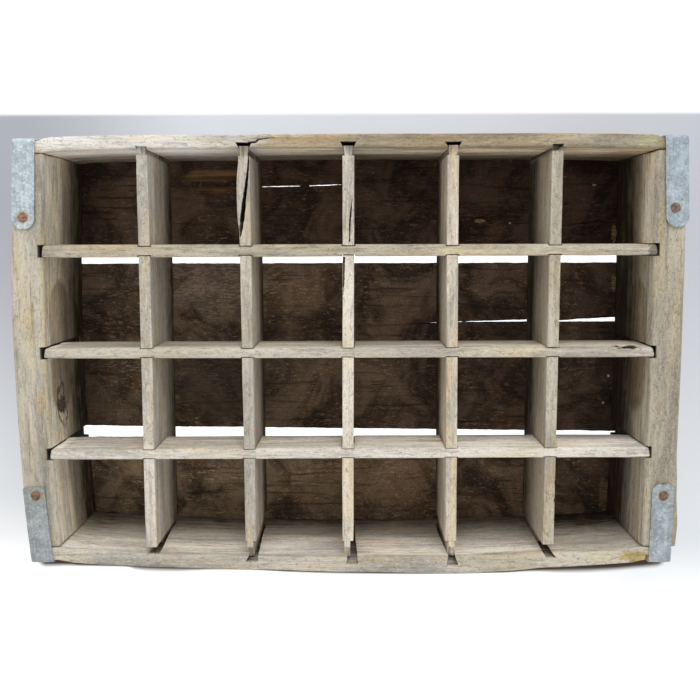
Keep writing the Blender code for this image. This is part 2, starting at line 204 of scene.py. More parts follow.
# How much thicker the boards are than their grooves show, along each board: place and extra thickness
near_swell = [(-0.219, 0.0), (-0.190, 0.0009), (-0.060, 0.0005), (0.0, 0.0017), (0.085, 0.0037)]
near_swell += [(0.115, 0.0032), (0.145, 0.0015), (0.205, 0.0009), (0.219, 0.0)]
left_swell = [(-0.143, 0.0008), (-0.100, 0.0018), (0.060, 0.0017), (0.100, 0.0004), (0.143, 0.0)]
right_swell = [(-0.143, 0.0040), (-0.126, 0.0044), (-0.100, 0.0026), (-0.070, 0.0012), (0.143, 0.0005)]
# How far the crate's corners stand in or out along Y: by whether they are right and far
corner_shifts = {(False, True): -0.0012, (False, False): 0.0012, (True, False): 0.0010}
# Extra thickness of the far long divider at its left and right ends
long_swell = (0.0013, 0.0004)

# Hand-holds
handhold_half_length = 0.049
handhold_radius = 0.017
handhold_depth = 0.011
handhold_level = 0.072
handhold_cove = 0.004
handhold_roughness = 0.0005
handhold_arc_pieces = 14
cove_pieces = 4

# The outline that the hand-hold's thin back shows on the board's inner face
trace_level = 0.066
trace_shift = 0.003
trace_radius = 0.021
trace_straight = 0.029
trace_edge = 0.0016
trace_depth = 0.0008
trace_brownness = 0.85
trace_fades = (0.006, 0.002)  # how far from the inner face the brown starts and is full


# Shapes


def seed_shift(seed):
    """How far a seed moves its noise from that of the others."""
    return Vector((seed * 7.31, seed * 3.77, seed * 5.19))


def hash_noise(point, scale, seed):
    """Smooth noise from -1 to 1, not the same for each seed."""
    return noise.noise(Vector(point) * scale + seed_shift(seed))


def hash_noises(point, scale, seed=0):
    """Smooth noise of its own along each axis."""
    return Vector([hash_noise(point, scale, seed + axis) for axis in range(3)])


def grain_noise(point, along, scale, stretch, seed):
    """Noise drawn out along one axis, as wood fibres are."""
    drawn = Vector(point) * scale
    drawn[along] *= stretch
    return noise.noise(drawn + seed_shift(seed))


def smooth_step(low, high, value):
    """Smoothly from 0 at the first place to 1 at the second one, which may lie below the first."""
    share = min(max((value - low) / (high - low), 0), 1)
    return share * share * (3 - 2 * share)


def bow_at(place, half_span, bow):
    """A bow's depth at a place: full in the middle of the span and none at its ends."""
    share = place / half_span
    return bow * max(0, 1 - share * share)


def end_bow(end, y):
    return bow_at(y, inner_half_width, bows[end])


def side_bow(side, x):
    return bow_at(x, inner_half_length, bows[side])


def between(place, anchors):
    """A value at a place, led smoothly through anchors of place and value."""
    for (low, before), (high, after) in zip(anchors, anchors[1:]):
        if low <= place <= high:
            return before + (after - before) * smooth_step(low, high, place)
    return 0.0


def spread(low, high, step, fine=True):
    """Places from low to high, a step apart, and close together at both ends where edges are worn."""
    near = edge_places if fine else (0.0,)
    span = high - low - 2 * near[-1]
    count = max(1, round(span / step))
    inner = [low + near[-1] + span * number / count for number in range(count + 1)]
    return [low + place for place in near[:-1]] + inner + [high - place for place in reversed(near[:-1])]


def block(places):
    """A closed box whose faces are grids of quads at the given places along X, Y and Z."""
    shape = bmesh.new()
    made = {}

    def corner(key):
        if key not in made:
            made[key] = shape.verts.new([places[axis][key[axis]] for axis in range(3)])
        return made[key]

    for axis in range(3):
        first, second = (axis + 1) % 3, (axis + 2) % 3
        for end in (0, len(places[axis]) - 1):
            for i in range(len(places[first]) - 1):
                for j in range(len(places[second]) - 1):
                    keys = []
                    for step_i, step_j in ((0, 0), (1, 0), (1, 1), (0, 1)):
                        key = [0, 0, 0]
                        key[axis] = end
                        key[first] = i + step_i
                        key[second] = j + step_j
                        keys.append(tuple(key))
                    if end == 0:
                        keys.reverse()
                    shape.faces.new([corner(key) for key in keys])
    shape.normal_update()
    return shape


def rounded(point, low, high, radius):
    """The point, moved onto a rounded edge or corner of the box if it lies outside the rounding."""
    core = Vector([min(max(point[a], low[a] + radius), high[a] - radius) for a in range(3)])
    away = point - core
    if away.length <= radius:
        return point
    return core + away * (radius / away.length)


def object_from(shape, name):
    mesh = bpy.data.meshes.new(name)
    shape.to_mesh(mesh)
    shape.free()
    thing = bpy.data.objects.new(name, mesh)
    bpy.context.scene.collection.objects.link(thing)
    return thing


def lofted(shape, rings, name):
    """A closed object whose skin runs through rings of as many points each."""
    for first, second in zip(rings, rings[1:]):
        for number in range(len(first)):
            following = (number + 1) % len(first)
            shape.faces.new((first[number], first[following], second[following], second[number]))
    shape.faces.new(list(reversed(rings[0])))
    shape.faces.new(rings[-1])
    bmesh.ops.recalc_face_normals(shape, faces=shape.faces)
    return object_from(shape, name)


def plank(name, low, high, along, seed, wear, bend=None):
    """A sawn board: worn edges, raised grain, a wavy top edge and its bow."""
    steps = [across_step] * 3
    steps[along] = along_step
    thin = min((high[axis] - low[axis], axis) for axis in range(3))[1]
    steps[thin] = through_step
    shape = block([spread(low[axis], high[axis], steps[axis]) for axis in range(3)])
    moved = []
    for vertex in shape.verts:
        point = vertex.co.copy()
        radius = wear(point) * (1 + edge_unevenness * hash_noise(point, 38, seed))
        radius += dent_depth * max(0, hash_noise(point, 90, seed + 1) - dent_limit)
        result = rounded(point, low, high, min(radius, (high[thin] - low[thin]) * most_rounding))
        fibre = grain_noise(point, along, 420, 0.06, seed)
        fibre += 0.6 * grain_noise(point, along, 900, 0.10, seed + 2)
        result -= vertex.normal * relief * (0.5 + 0.5 * fibre)
        share = (point.z - low[2]) / (high[2] - low[2])
        result.z -= share * rim_dip * (0.5 + 0.5 * hash_noise((point[along], 0, 0), 34, seed + 3))
        if bend:
            result += bend(point)
        moved.append(result)
    for vertex, result in zip(shape.verts, moved):
        vertex.co = result
    return object_from(shape, name)


def around(place, half):
    return place - half, place + half


def rough_block(name, spans, step=0.0025, jitter=0.0002, bend=None, seed=0):
    """A cutter: a box with slightly uneven faces, from its spans along X, Y and Z."""
    shape = block([spread(*sorted(span), step, fine=False) for span in spans])
    for vertex in shape.verts:
        vertex.co += hash_noises(vertex.co, 300, seed) * jitter
        if bend:
            vertex.co = bend(vertex.co)
    return object_from(shape, name)


def off_path(point, path):
    """How far a point lies from a path of (x, y, width), as seen from above."""
    spot = Vector((point.x, point.y))
    nearest = math.inf
    for (x0, y0, _), (x1, y1, _) in zip(path, path[1:]):
        start = Vector((x0, y0))
        run = Vector((x1, y1)) - start
        share = min(max((spot - start).dot(run) / run.length_squared, 0), 1)
        nearest = min(nearest, (spot - start - run * share).length)
    return nearest


def fissure(name, path, top, foot, foot_share, drift=0.0, seed=0):
    """A thin ragged cutter along a path of (x, y, width), from the top level down to its foot.

    A ring of points just under the surface lets the inside of the crack be dark up to its lips.
    """
    lip = top - overrun - crack_lip
    points = []
    for (x0, y0, w0), (x1, y1, w1) in zip(path, path[1:]):
        count = max(1, round(math.hypot(x1 - x0, y1 - y0) / crack_step))
        for number in range(count):
            share = number / count
            points.append((x0 + (x1 - x0) * share, y0 + (y1 - y0) * share, w0 + (w1 - w0) * share))
    points.append(path[-1])
    shape = bmesh.new()
    rings = []
    for number, (x, y, width) in enumerate(points):
        before = points[max(0, number - 1)]
        after = points[min(len(points) - 1, number + 1)]
        run = Vector((after[0] - before[0], after[1] - before[1])).normalized()
        across = Vector((-run.y, run.x, 0))
        wobble = crack_wobble * hash_noise((x, y, top), 260, seed)
        centre = Vector((x, y, 0)) + across * wobble
        half = width / 2 + crack_ragged * hash_noise((x, y, 0), 900, seed + 1)
        half = max(half, least_crack_half)
        ring = []
        down = ((top, 1, 0.0), (lip, 1, 0.0), (foot, foot_share, drift))
        for side, order in ((1, down), (-1, reversed(down))):
            for level, share, aside in order:
                place = centre + across * (side * half * share) + Vector((0, aside, level))
                ring.append(shape.verts.new(place))
        rings.append(ring)
    return lofted(shape, rings, name)


def bite(name, centre, size, seed):
    """A cutter for a chip: an uneven lump."""
    shape = bmesh.new()
    bmesh.ops.create_icosphere(shape, subdivisions=3, radius=1)
    for vertex in shape.verts:
        swell = 1 + 0.35 * hash_noise(vertex.co, 1.6, seed) + 0.15 * hash_noise(vertex.co, 5, seed + 1)
        vertex.co = Vector([vertex.co[a] * size[a] * swell + centre[a] for a in range(3)])
    return object_from(shape, name)


def bites(name, chips, seed):
    return [bite(f"{name}_chip_{order}", *chip, seed + order) for order, chip in enumerate(chips)]


def carve(piece, cutters):
    """Cuts the cutters from a piece, one after another, and keeps the result as its mesh."""
    for cutter in cutters:
        boolean = piece.modifiers.new(cutter.name, "BOOLEAN")
        boolean.operation = "DIFFERENCE"
        boolean.solver = "MANIFOLD"
        boolean.object = cutter
    bpy.context.view_layer.update()
    graph = bpy.context.evaluated_depsgraph_get()
    carved = bpy.data.meshes.new_from_object(piece.evaluated_get(graph))
    piece.modifiers.clear()
    old = piece.data
    piece.data = carved
    bpy.data.meshes.remove(old)
    for cutter in cutters:
        mesh = cutter.data
        bpy.data.objects.remove(cutter)
        bpy.data.meshes.remove(mesh)


# Materials


def tone(red, green, blue):
    """A colour written as on a screen, from 0 to 255, in the linear values that a shader takes."""
    parts = []
    for value in (red, green, blue):
        share = min(value, 255) / 255
        parts.append(share / 12.92 if share <= 0.04045 else ((share + 0.055) / 1.055) ** 2.4)
    return (*parts, 1.0)


def shade(colour, light, warmth=0.0):
    """A screen colour made lighter or darker, and yellower or bluer."""
    changes = (1 + warmth * 0.3, 1 - warmth * 0.1, 1 - warmth)
    return tone(*[value * light * change for value, change in zip(colour, changes)])


class Shader:
    """Builds a material's nodes with short calls. Every value may be a number, a colour or a socket."""

    def __init__(self, name):
        self.material = bpy.data.materials.new(name)
        self.material.use_nodes = True
        self.tree = self.material.node_tree
        self.surface = self.tree.nodes["Principled BSDF"]

    def put(self, socket, value):
        if isinstance(value, bpy.types.NodeSocket):
            self.tree.links.new(value, socket)
        else:
            socket.default_value = value

    def node(self, kind, inputs, **settings):
        node = self.tree.nodes.new(kind)
        for name, value in settings.items():
            setattr(node, name, value)
        for name, value in inputs.items():
            self.put(node.inputs[name], value)
        return node

    def place(self, scale=(1, 1, 1), shift=(0, 0, 0)):
        """The point on the piece, stretched and shifted."""
        point = self.node("ShaderNodeTexCoord", {}).outputs["Object"]
        inputs = {"Vector": point, "Scale": scale, "Location": shift}
        return self.node("ShaderNodeMapping", inputs).outputs["Vector"]

    def noise(self, vector, scale, detail=3.0, roughness=0.55, distortion=0.0):
        inputs = {"Vector": vector, "Scale": scale, "Detail": detail, "Roughness": roughness}
        inputs["Distortion"] = distortion
        return self.node("ShaderNodeTexNoise", inputs).outputs["Fac"]

    def ramp(self, value, low, high, start=0.0, end=1.0, kind="SMOOTHSTEP"):
        inputs = {"Value": value, "From Min": low, "From Max": high, "To Min": start, "To Max": end}
        return self.node("ShaderNodeMapRange", inputs, interpolation_type=kind).outputs["Result"]

    def curve(self, value, anchors):
        """A value led smoothly through anchors, each a place and the value there."""
        first, last = anchors[0][0], anchors[-1][0]
        levels = [level for _, level in anchors]
        low, high = min(levels), max(levels)
        node = self.node("ShaderNodeFloatCurve", {"Value": self.ramp(value, first, last, kind="LINEAR")})
        line = node.mapping.curves[0]
        run, rise = last - first, high - low
        spots = [((place - first) / run, (level - low) / rise) for place, level in anchors]
        line.points[0].location = spots[0]
        line.points[-1].location = spots[-1]
        for spot in spots[1:-1]:
            line.points.new(*spot)
        node.mapping.update()
        return self.ramp(node.outputs["Value"], 0.0, 1.0, low, high, kind="LINEAR")

    def math(self, operation, first, second=0.0):
        return self.node("ShaderNodeMath", {0: first, 1: second}, operation=operation).outputs["Value"]

    def add(self, first, second):
        return self.math("ADD", first, second)

    def less(self, first, second):
        return self.math("SUBTRACT", first, second)

    def times(self, first, second):
        return self.math("MULTIPLY", first, second)

    def mix(self, share, first, second, blend="MIX"):
        inputs = {0: share, 6: first, 7: second}
        return self.node("ShaderNodeMix", inputs, data_type="RGBA", blend_type=blend).outputs[2]

    def blend(self, value, low, high, first, second):
        """From one colour to a second as a value goes from low to high."""
        return self.mix(self.ramp(value, low, high), first, second)

    def layered(self, colour, tint, layers):
        """Lays shades of a tint over a colour.

        Each layer is a value, where the shade starts and is fullest, its share there, its light and warmth.
        """
        for value, low, high, most, light, warmth in layers:
            colour = self.mix(self.ramp(value, low, high, 0.0, most), colour, shade(tint, light, warmth))
        return colour

    def attribute(self, name):
        return self.node("ShaderNodeAttribute", {}, attribute_name=name).outputs["Fac"]

    def reach(self, centre, radius, ragged=0.3):
        """Distance from a place in the crate's plan, in units of its radii, with ragged edges."""
        scale = [1 / size for size in radius]
        shift = [-(centre[axis] + middle[axis]) / radius[axis] for axis in range(3)]
        point = self.place(scale, shift)
        length = self.node("ShaderNodeVectorMath", {0: point}, operation="LENGTH").outputs["Value"]
        uneven = self.ramp(self.noise(point, 2.2, 3), 0.3, 0.7, -ragged, ragged)
        return self.add(length, uneven)

    def bump(self, height, strength, distance):
        inputs = {"Height": height, "Strength": strength, "Distance": distance}
        return self.node("ShaderNodeBump", inputs).outputs["Normal"]

    def finish(self, colour, roughness, normal, metallic=0.0, specular=0.3):
        self.put(self.surface.inputs["Base Color"], colour)
        self.put(self.surface.inputs["Roughness"], roughness)
        self.put(self.surface.inputs["Normal"], normal)
        self.surface.inputs["Metallic"].default_value = metallic
        self.surface.inputs["Specular IOR Level"].default_value = specular
        return self.material


# The dark colour inside the crate, dirt and painted shade together, and its paler streaks
wood_dirt_and_shade = (56, 46, 37)
dirt_and_shade_streak = (86, 75, 60)
# A knot's rings, and how much further the dark lines round it reach along each axis
knot_rings = 19
knot_flow = (1.0, 4.5, 1.5)
# Painted light: how much paler the wood just under the rim is made, as a factor on its colour
painted_light_under_rim = (1.97, 2.0, 2.12, 1.0)


def wood(name, along, seed, base, golden=0.5, faded=None, marks=()):
    """Weathered bare wood with its grain along one axis.

    One attribute brings the dirt, with painted shade deep inside and, below zero, painted light just under
    the rim; a second one brings a second colour. Each mark is a place, its radii, a colour and a strength; a
    strength above 1 makes a knot of it.
    """
    make = Shader(name)
    shift = (seed * 0.37, seed * 0.53, seed * 0.29)

    def drawn(stretch):
        scale = [1.0, 1.0, 1.0]
        scale[along] = stretch
        return make.place(scale, shift)

    fibres = drawn(0.05)
    streaks = drawn(0.16)
    flecks = drawn(0.33)
    even = drawn(1.0)
    broad = make.noise(streaks, 48, 4, 0.62, 0.5)
    band = make.noise(fibres, 330, 4, 0.66, 0.4)
    fine = make.noise(fibres, 900, 3, 0.7, 0.2)
    fleck = make.noise(flecks, 560, 3, 0.68, 0.6)
    pit = make.noise(even, 1150, 3, 0.72)
    blotch = make.noise(even, 70, 4, 0.62, 0.6)

    def weathered(tint):
        """The wood's tones around one colour: silvery and pale stretches, gold, grain, flecks and pits."""
        colour = make.blend(broad, 0.36, 0.62, shade(tint, 0.88, -0.02), shade(tint, 1.10, -0.01))
        gold = make.noise(streaks, 85, 3, 0.6, 0.5)
        layers = [
            (gold, 0.47, 0.68, golden, 1.02, 0.20),
            (blotch, 0.54, 0.74, 0.35, 0.78, -0.04),
            (fleck, 0.55, 0.68, 0.45, 1.18, -0.02),
            (fleck, 0.46, 0.34, 0.50, 0.66, 0.04),
            (band, 0.52, 0.72, 0.50, 0.62, 0.06),
            (fine, 0.54, 0.74, 0.45, 0.55, 0.04),
            (pit, 0.58, 0.68, 0.50, 0.50, 0.06),
            (pit, 0.42, 0.33, 0.35, 1.22, -0.02),
        ]
        return make.layered(colour, tint, layers)

    colour = weathered(base)
    if faded:
        colour = make.mix(make.attribute("fade_and_shade"), colour, weathered(faded))
    for centre, radius, tint, strength in marks:
        reach = make.reach(centre, radius)
        over = weathered(tint)
        if strength > 1:
            rings = make.math("SINE", make.times(reach, knot_rings))
            over = make.blend(rings, -1, 1, shade(tint, 0.6), shade(tint, 1.1))
        colour = make.mix(make.ramp(reach, 1.1, 0.6, 0.0, min(strength, 1)), colour, over)
        if strength > 1:
            flowing = [size * stretch for size, stretch in zip(radius, knot_flow)]
            flow = make.math("PINGPONG", make.reach(centre, flowing, 0.12), 0.5)
            line = make.times(make.ramp(flow, 0.40, 0.48), make.ramp(reach, 3.4, 1.6))
            colour = make.mix(make.times(line, 0.8), colour, shade(tint, 0.75))
    stain_and_light_value = make.attribute("stain_and_painted_light")
    # Below zero the stain is painted light: the wood under the rim is made paler
    painted_light_level = make.add(stain_and_light_value, make.ramp(band, 0.3, 0.7, -0.14, 0.14))
    colour = make.mix(make.ramp(painted_light_level, 0.0, -1.0), colour, painted_light_under_rim, "MULTIPLY")
    # The stain darkens the wood with dirt and painted shade, unevenly along the grain
    streaky = make.ramp(blotch, 0.3, 0.7, -0.12, 0.10)
    streaky = make.add(streaky, make.ramp(band, 0.3, 0.7, -0.24, 0.18))
    streaky = make.add(streaky, make.ramp(broad, 0.35, 0.65, -0.16, 0.14))
    most = make.ramp(stain_and_light_value, 0.0, 0.25, 0.15, 1.0)
    uneven = make.add(stain_and_light_value, make.times(streaky, most))
    dirt_and_shade = make.blend(fine, 0.35, 0.65, tone(*wood_dirt_and_shade), tone(*dirt_and_shade_streak))
    colour = make.mix(make.ramp(uneven, 0.04, 0.98, kind="LINEAR"), colour, dirt_and_shade)
    height = make.times(band, -1.0)
    height = make.less(height, make.times(fine, 0.6))
    height = make.add(height, make.times(fleck, 0.9))
    height = make.less(height, make.ramp(pit, 0.58, 0.70, 0.0, 0.7))
    rough = make.ramp(band, 0.2, 0.8, 0.80, 0.96)
    return make.finish(colour, rough, make.bump(height, 0.75, 0.0010), specular=0.22)


# The bottom boards' dark faces: how red they are in patches, factors on their colour at the crate's left, at
# its right and beside the end boards, and how far from the end boards they are darker
floor_redness = 0.5
left_gloom = (1.25, 1.25, 1.25, 1.0)
right_gloom = (0.72, 0.67, 0.68, 1.0)
corner_gloom = (0.50, 0.50, 0.52, 1.0)
corner_gloom_reach = 0.034


def floor_wood(name, seed, base, marks=()):
    """The bottom boards: stained nearly black inside by dirt and damp, brown-grey underneath."""
    make = Shader(name)
    shift = (seed * 0.41, seed * 0.23, seed * 0.67)
    fibres = make.place((0.07, 1, 1), shift)
    flecks = make.place((0.30, 1, 1), shift)
    even = make.place((1, 1, 1), shift)
    band = make.noise(fibres, 300, 4, 0.68, 0.4)
    fine = make.noise(fibres, 800, 3, 0.7)
    fleck = make.noise(flecks, 700, 4, 0.74, 0.2)
    speck = make.noise(even, 900, 4, 0.80, 0.1)
    blotch = make.noise(even, 24, 5, 0.66, 0.9)
    patch = make.noise(even, 46, 4, 0.62, 0.6)
    dark = make.blend(blotch, 0.36, 0.64, shade(base, 0.62), shade(base, 1.32))
    dark = make.mix(make.ramp(patch, 0.50, 0.68, 0.0, floor_redness), dark, shade(base, 0.92, 0.22))
    light = make.times(make.ramp(fleck, 0.54, 0.66), make.ramp(patch, 0.36, 0.58, 0.15, 1.0))
    dark = make.mix(make.times(light, 0.75), dark, shade(base, 1.85))
    layers = [
        (speck, 0.58, 0.68, 0.65, 1.75, 0.03),
        (speck, 0.45, 0.34, 0.85, 0.42, 0.0),
        (band, 0.53, 0.70, 0.75, 0.46, 0.0),
    ]
    dark = make.layered(dark, base, layers)
    across = make.node("ShaderNodeSeparateXYZ", {"Vector": even}).outputs["X"]
    right = make.ramp(across, shift[0] - inner_half_length, shift[0] + inner_half_length)
    dark = make.mix(1.0, dark, make.mix(right, left_gloom, right_gloom), "MULTIPLY")
    outwards = make.math("ABSOLUTE", make.less(across, shift[0] + middle.x))
    # Darker beside the end boards
    by_the_ends = make.ramp(outwards, inner_half_length - corner_gloom_reach, inner_half_length)
    dark = make.mix(by_the_ends, dark, corner_gloom, "MULTIPLY")
    splinters = make.blend(band, 0.40, 0.60, tone(170, 132, 92), tone(110, 82, 58))
    dark = make.mix(make.attribute("fade_and_shade"), dark, splinters)
    for centre, radius, tint, strength in marks:
        spot = make.blend(fleck, 0.40, 0.60, shade(tint, 0.75), shade(tint, 1.15))
        dark = make.mix(make.ramp(make.reach(centre, radius), 1.1, 0.7, 0.0, strength), dark, spot)
    under = make.blend(blotch, 0.34, 0.66, tone(122, 110, 92), tone(160, 149, 128))
    under = make.mix(make.ramp(band, 0.48, 0.70, 0.0, 0.7), under, tone(84, 72, 56))
    under = make.mix(make.ramp(fine, 0.50, 0.74, 0.0, 0.5), under, tone(78, 68, 54))
    under = make.mix(make.ramp(fleck, 0.58, 0.68, 0.0, 0.5), under, tone(178, 168, 146))
    colour = make.mix(make.attribute("stain_and_painted_light"), under, dark)
    height = make.less(make.times(fleck, 0.9), band)
    height = make.add(height, make.times(speck, 0.6))
    rough = make.ramp(speck, 0.3, 0.7, 0.96, 0.80)
    return make.finish(colour, rough, make.bump(height, 0.7, 0.0010), specular=0.2)


def zinc(name, seed, base):
    """Dull zinc coating with small spangles, white bloom, and scratches and dirt along the strap."""
    make = Shader(name)
    shift = (seed * 0.31, seed * 0.47, seed * 0.11)
    even = make.place((1, 1, 1), shift)
    drawn = make.place((1, 0.10, 0.10), shift)
    cells = make.node("ShaderNodeTexVoronoi", {"Vector": even, "Scale": 420.0, "Randomness": 1.0})
    spangle = make.node("ShaderNodeSeparateColor", {"Color": cells.outputs["Color"]}).outputs["Red"]
    cloud = make.noise(even, 120, 4, 0.62, 0.4)
    bloom = make.noise(even, 520, 3, 0.7)
    scratch = make.noise(drawn, 700, 3, 0.6)
    colour = make.blend(cloud, 0.38, 0.62, shade(base, 0.90), shade(base, 1.08))
    layers = [
        (spangle, 0.0, 1.0, 0.35, 1.12, 0.0),
        (bloom, 0.55, 0.66, 0.60, 1.28, 0.05),
        (bloom, 0.45, 0.34, 0.60, 0.76, 0.0),
        (scratch, 0.56, 0.70, 0.60, 0.78, 0.0),
    ]
    colour = make.layered(colour, base, layers)
    # The second attribute darkens the creases and bent edges: painted shade
    colour = make.mix(make.times(make.attribute("fade_and_shade"), 0.5), colour, shade(base, 0.68))
    rusty = make.blend(bloom, 0.4, 0.6, tone(164, 140, 98), tone(184, 168, 128))
    colour = make.mix(make.attribute("stain_and_painted_light"), colour, rusty)
    height = make.add(cloud, make.times(bloom, 0.4))
    rough = make.ramp(spangle, 0, 1, 0.50, 0.66)
    return make.finish(colour, rough, make.bump(height, 0.25, 0.0006), metallic=0.30, specular=0.4)


def rust(name, seed, base):
    """Rusty steel: brown, cloudy, with darker pits."""
    make = Shader(name)
    even = make.place((1, 1, 1), (seed * 0.41, seed * 0.17, seed * 0.77))
    cloud = make.noise(even, 420, 4, 0.65)
    pits = make.noise(even, 1500, 3, 0.7)
    colour = make.blend(cloud, 0.35, 0.65, shade(base, 0.78), shade(base, 1.16))
    colour = make.mix(make.ramp(pits, 0.52, 0.70, 0.0, 0.7), colour, shade(base, 0.52))
    rough = make.ramp(pits, 0.3, 0.7, 0.62, 0.88)
    return make.finish(colour, rough, make.bump(pits, 0.4, 0.0004), metallic=0.2)


# Finishing a piece

sharp_angle = 38  # degrees
clean_rim = 0.0008  # how far under the rim the wood is as at the rim
# Dirt and painted shade in the joints: how far they reach past them, how strong they are in the far sockets,
# and how strong in the near ones at the rim and how much more painted shade there is further down
joint_margin = 0.0006
far_socket_dirt_and_shade = 0.75
near_socket_dirt_and_shade = (0.40, 0.45)
near_socket_shade_depths = (0.014, 0.028)
near_socket_margin = 0.0024
near_socket_reach = 0.0078
# Where the bottom boards' dirt starts and is full, as shares of their thickness
floor_dirt_levels = (0.45, 0.8)
# The tails' dirt and painted shade at the far and the near side, where they sit in their sockets
far_tail_dirt_and_shade = 0.62
near_tail_dirt_and_shade = 0.25
# Where a shift of the far board starts and is full: along X to the left and right, along Y, and how far
# along X the straps begin, under which it doesn't lean
far_lean_left = (-0.06, -0.20)
far_lean_right = (0.04, 0.20)
far_lean_across = (0.110, 0.140)
strap_begins = (0.213, 0.218)
# Where a corner's shift starts and is full, along X and along Y
corner_along = (0.205, 0.219)
corner_across = (0.12, 0.15)


def inside_reach(place, span, bow_before, bow_after):
    """Whether a place lies between two bowed walls, or on their inner faces."""
    bow = bow_after if place > 0 else bow_before
    return abs(place) < span + bow + worn_edge


def in_a_joint(point):
    """How much old dirt and painted shade lie in the grooves and sockets, and 0 elsewhere."""
    groove_reach = inner_half_length + groove_depth + bows["left"] + joint_margin
    for y in long_places:
        if abs(point.y - y) < groove_half + joint_margin and abs(point.x) < groove_reach:
            return 1.0
    near_reach = inner_half_width + side_bow("near", point.x) + near_socket_reach
    far_reach = inner_half_width + socket_depth + bows["near"] + 0.0004
    socket_half = socket_mouth + socket_flare
    for x in cross_places:
        if point.y > 0:
            if abs(point.x - x) < socket_half + joint_margin and point.y < far_reach:
                return far_socket_dirt_and_shade
        elif abs(point.x - x) < socket_half + near_socket_margin and -point.y < near_reach:
            if point.z > divider_base - clearance:
                least, more = near_socket_dirt_and_shade
                return least + more * smooth_step(*near_socket_shade_depths, rim - point.z)
    return 0.0


def dirt_and_painted_light_of_divider(point):
    """As on the walls, and the tails are darker than the rest: dirt and painted shade in the sockets."""
    tail = smooth_step(inner_half_width - 0.0025, inner_half_width + 0.0005, abs(point.y))
    return max(dirt_and_painted_light_of_wall(point), (far_tail_dirt_and_shade if point.y > 0 else near_tail_dirt_and_shade) * tail)


def dirt_and_painted_light_of_wall(point):
    """How dark the wood is made: clean outside and at the rim, dark inside near the floor from dirt and
    painted shade.

    Below zero it is painted light: the inner faces just under the rim are made paler than the weathered rim.
    The far, near, left and right walls and the dividers each have their own depths below the rim and
    strengths, which also paint how the light falls on each.
    """
    end_bows = [end_bow(end, point.y) for end in ("left", "right")]
    side_bows = [side_bow(side, point.x) for side in ("near", "far")]
    inside_x = inside_reach(point.x, inner_half_length, *end_bows)
    inside_y = inside_reach(point.y, inner_half_width, *side_bows)
    depth = rim - point.z
    if not (inside_x and inside_y):
        # Outside the cells: a little darker towards the foot, and the joints' dirt and painted shade
        foot = 0.10 * smooth_step(0.03, 0.0, point.z)
        return max(foot, in_a_joint(point) * smooth_step(clean_rim, 0.004, depth))
    # Painted light: the inner faces are made paler a little below the rim
    pale = smooth_step(clean_rim, 0.008, depth) * smooth_step(0.066, 0.030, depth)
    # Far board: a little dirt and painted shade low down, and painted light under the rim, strongest towards
    # the right
    if point.y > inner_half_width - worn_edge:
        painted_light_strength = 0.70 + 0.20 * smooth_step(-0.1, 0.1, point.x)
        return 0.3 * smooth_step(0.055, 0.092, depth) - painted_light_strength * pale
    # Near board: dirt and painted shade low down; towards the right end it starts higher and is stronger,
    # which is painted shade, and the painted light under the rim fades out there
    if point.y < worn_edge - inner_half_width:
        right_end_shade = smooth_step(0.10, 0.20, point.x)
        deep = smooth_step(0.038 - 0.022 * right_end_shade, 0.094, depth)
        return (0.62 + 0.53 * right_end_shade) * deep - 0.60 * (1 - right_end_shade) * pale
    # Left board: dirt and painted shade low down, and painted light under the rim
    if point.x < worn_edge - inner_half_length:
        return 1.15 * smooth_step(0.030, 0.088, depth) - 0.60 * pale
    # Right board: dirt and painted shade from higher up, and painted light under the rim, strongest in the
    # far row
    if point.x > inner_half_length - worn_edge:
        first = smooth_step(0.070, 0.082, point.y)
        pale = smooth_step(clean_rim, 0.006, depth) * smooth_step(0.045, 0.014, depth)
        return 1.15 * smooth_step(0.010, 0.074, depth) - (0.30 + 0.70 * first) * pale
    # Dividers: dirt and painted shade low down, from higher up in the right cells away from the near row,
    # where the painted light under the rim is also stronger
    right = smooth_step(0.02, 0.10, point.x) * smooth_step(-0.085, -0.065, point.y)
    amount = 1.0 + 0.15 * smooth_step(0.12, 0.08, abs(point.x))
    deep = smooth_step(0.030 - 0.018 * right, 0.088 - 0.020 * right, depth)
    return amount * deep - (0.25 + 0.15 * right) * pale


def stain_of_floor(point):
    """The bottom boards are dark inside, and not on their undersides and outer edges."""
    inside_x = abs(point.x) < inner_half_length + bows["left"] + 0.003
    inside_y = abs(point.y) < inner_half_width + bows["near"] + 0.001
    levels = [floor_top * share for share in floor_dirt_levels]
    return smooth_step(*levels, point.z) if inside_x and inside_y else 0.0


def creep(point):
    """How far the dividers, with their joints, have crept sideways, and how far the far board leans out."""
    far_share = smooth_step(-inner_half_width, inner_half_width, point.y)
    shifts = [near + (far - near) * far_share for far, near in cross_creep]
    ends = [(-inner_half_length, 0.0), (inner_half_length, 0.0)]
    across = between(point.x, [ends[0], *zip(cross_places, shifts), ends[1]])
    right_share = smooth_step(-inner_half_length, inner_half_length, point.x)
    shifts = [left + (right - left) * right_share for left, right in reversed(long_creep)]
    sides = [(-inner_half_width, 0.0), (inner_half_width, 0.0)]
    along = between(point.y, [sides[0], *zip(reversed(long_places), shifts), sides[1]])
    left_lean = far_lean[0] * smooth_step(*far_lean_left, point.x)
    right_lean = far_lean[1] * smooth_step(*far_lean_right, point.x)
    under_strap = smooth_step(*strap_begins, abs(point.x))
    under_strap *= smooth_step(inner_half_width + 0.004, half_width, point.y)
    along += (left_lean + right_lean) * smooth_step(*far_lean_across, point.y) * (1 - under_strap)
    return Vector((across, along, 0))


def corner_shift(point):
    """How far a corner of the crate stands in or out along Y."""
    shift = corner_shifts.get((point.x > 0, point.y > 0), 0.0)
    at_corner = smooth_step(*corner_along, abs(point.x)) * smooth_step(*corner_across, abs(point.y))
    return Vector((0, shift * at_corner, 0))


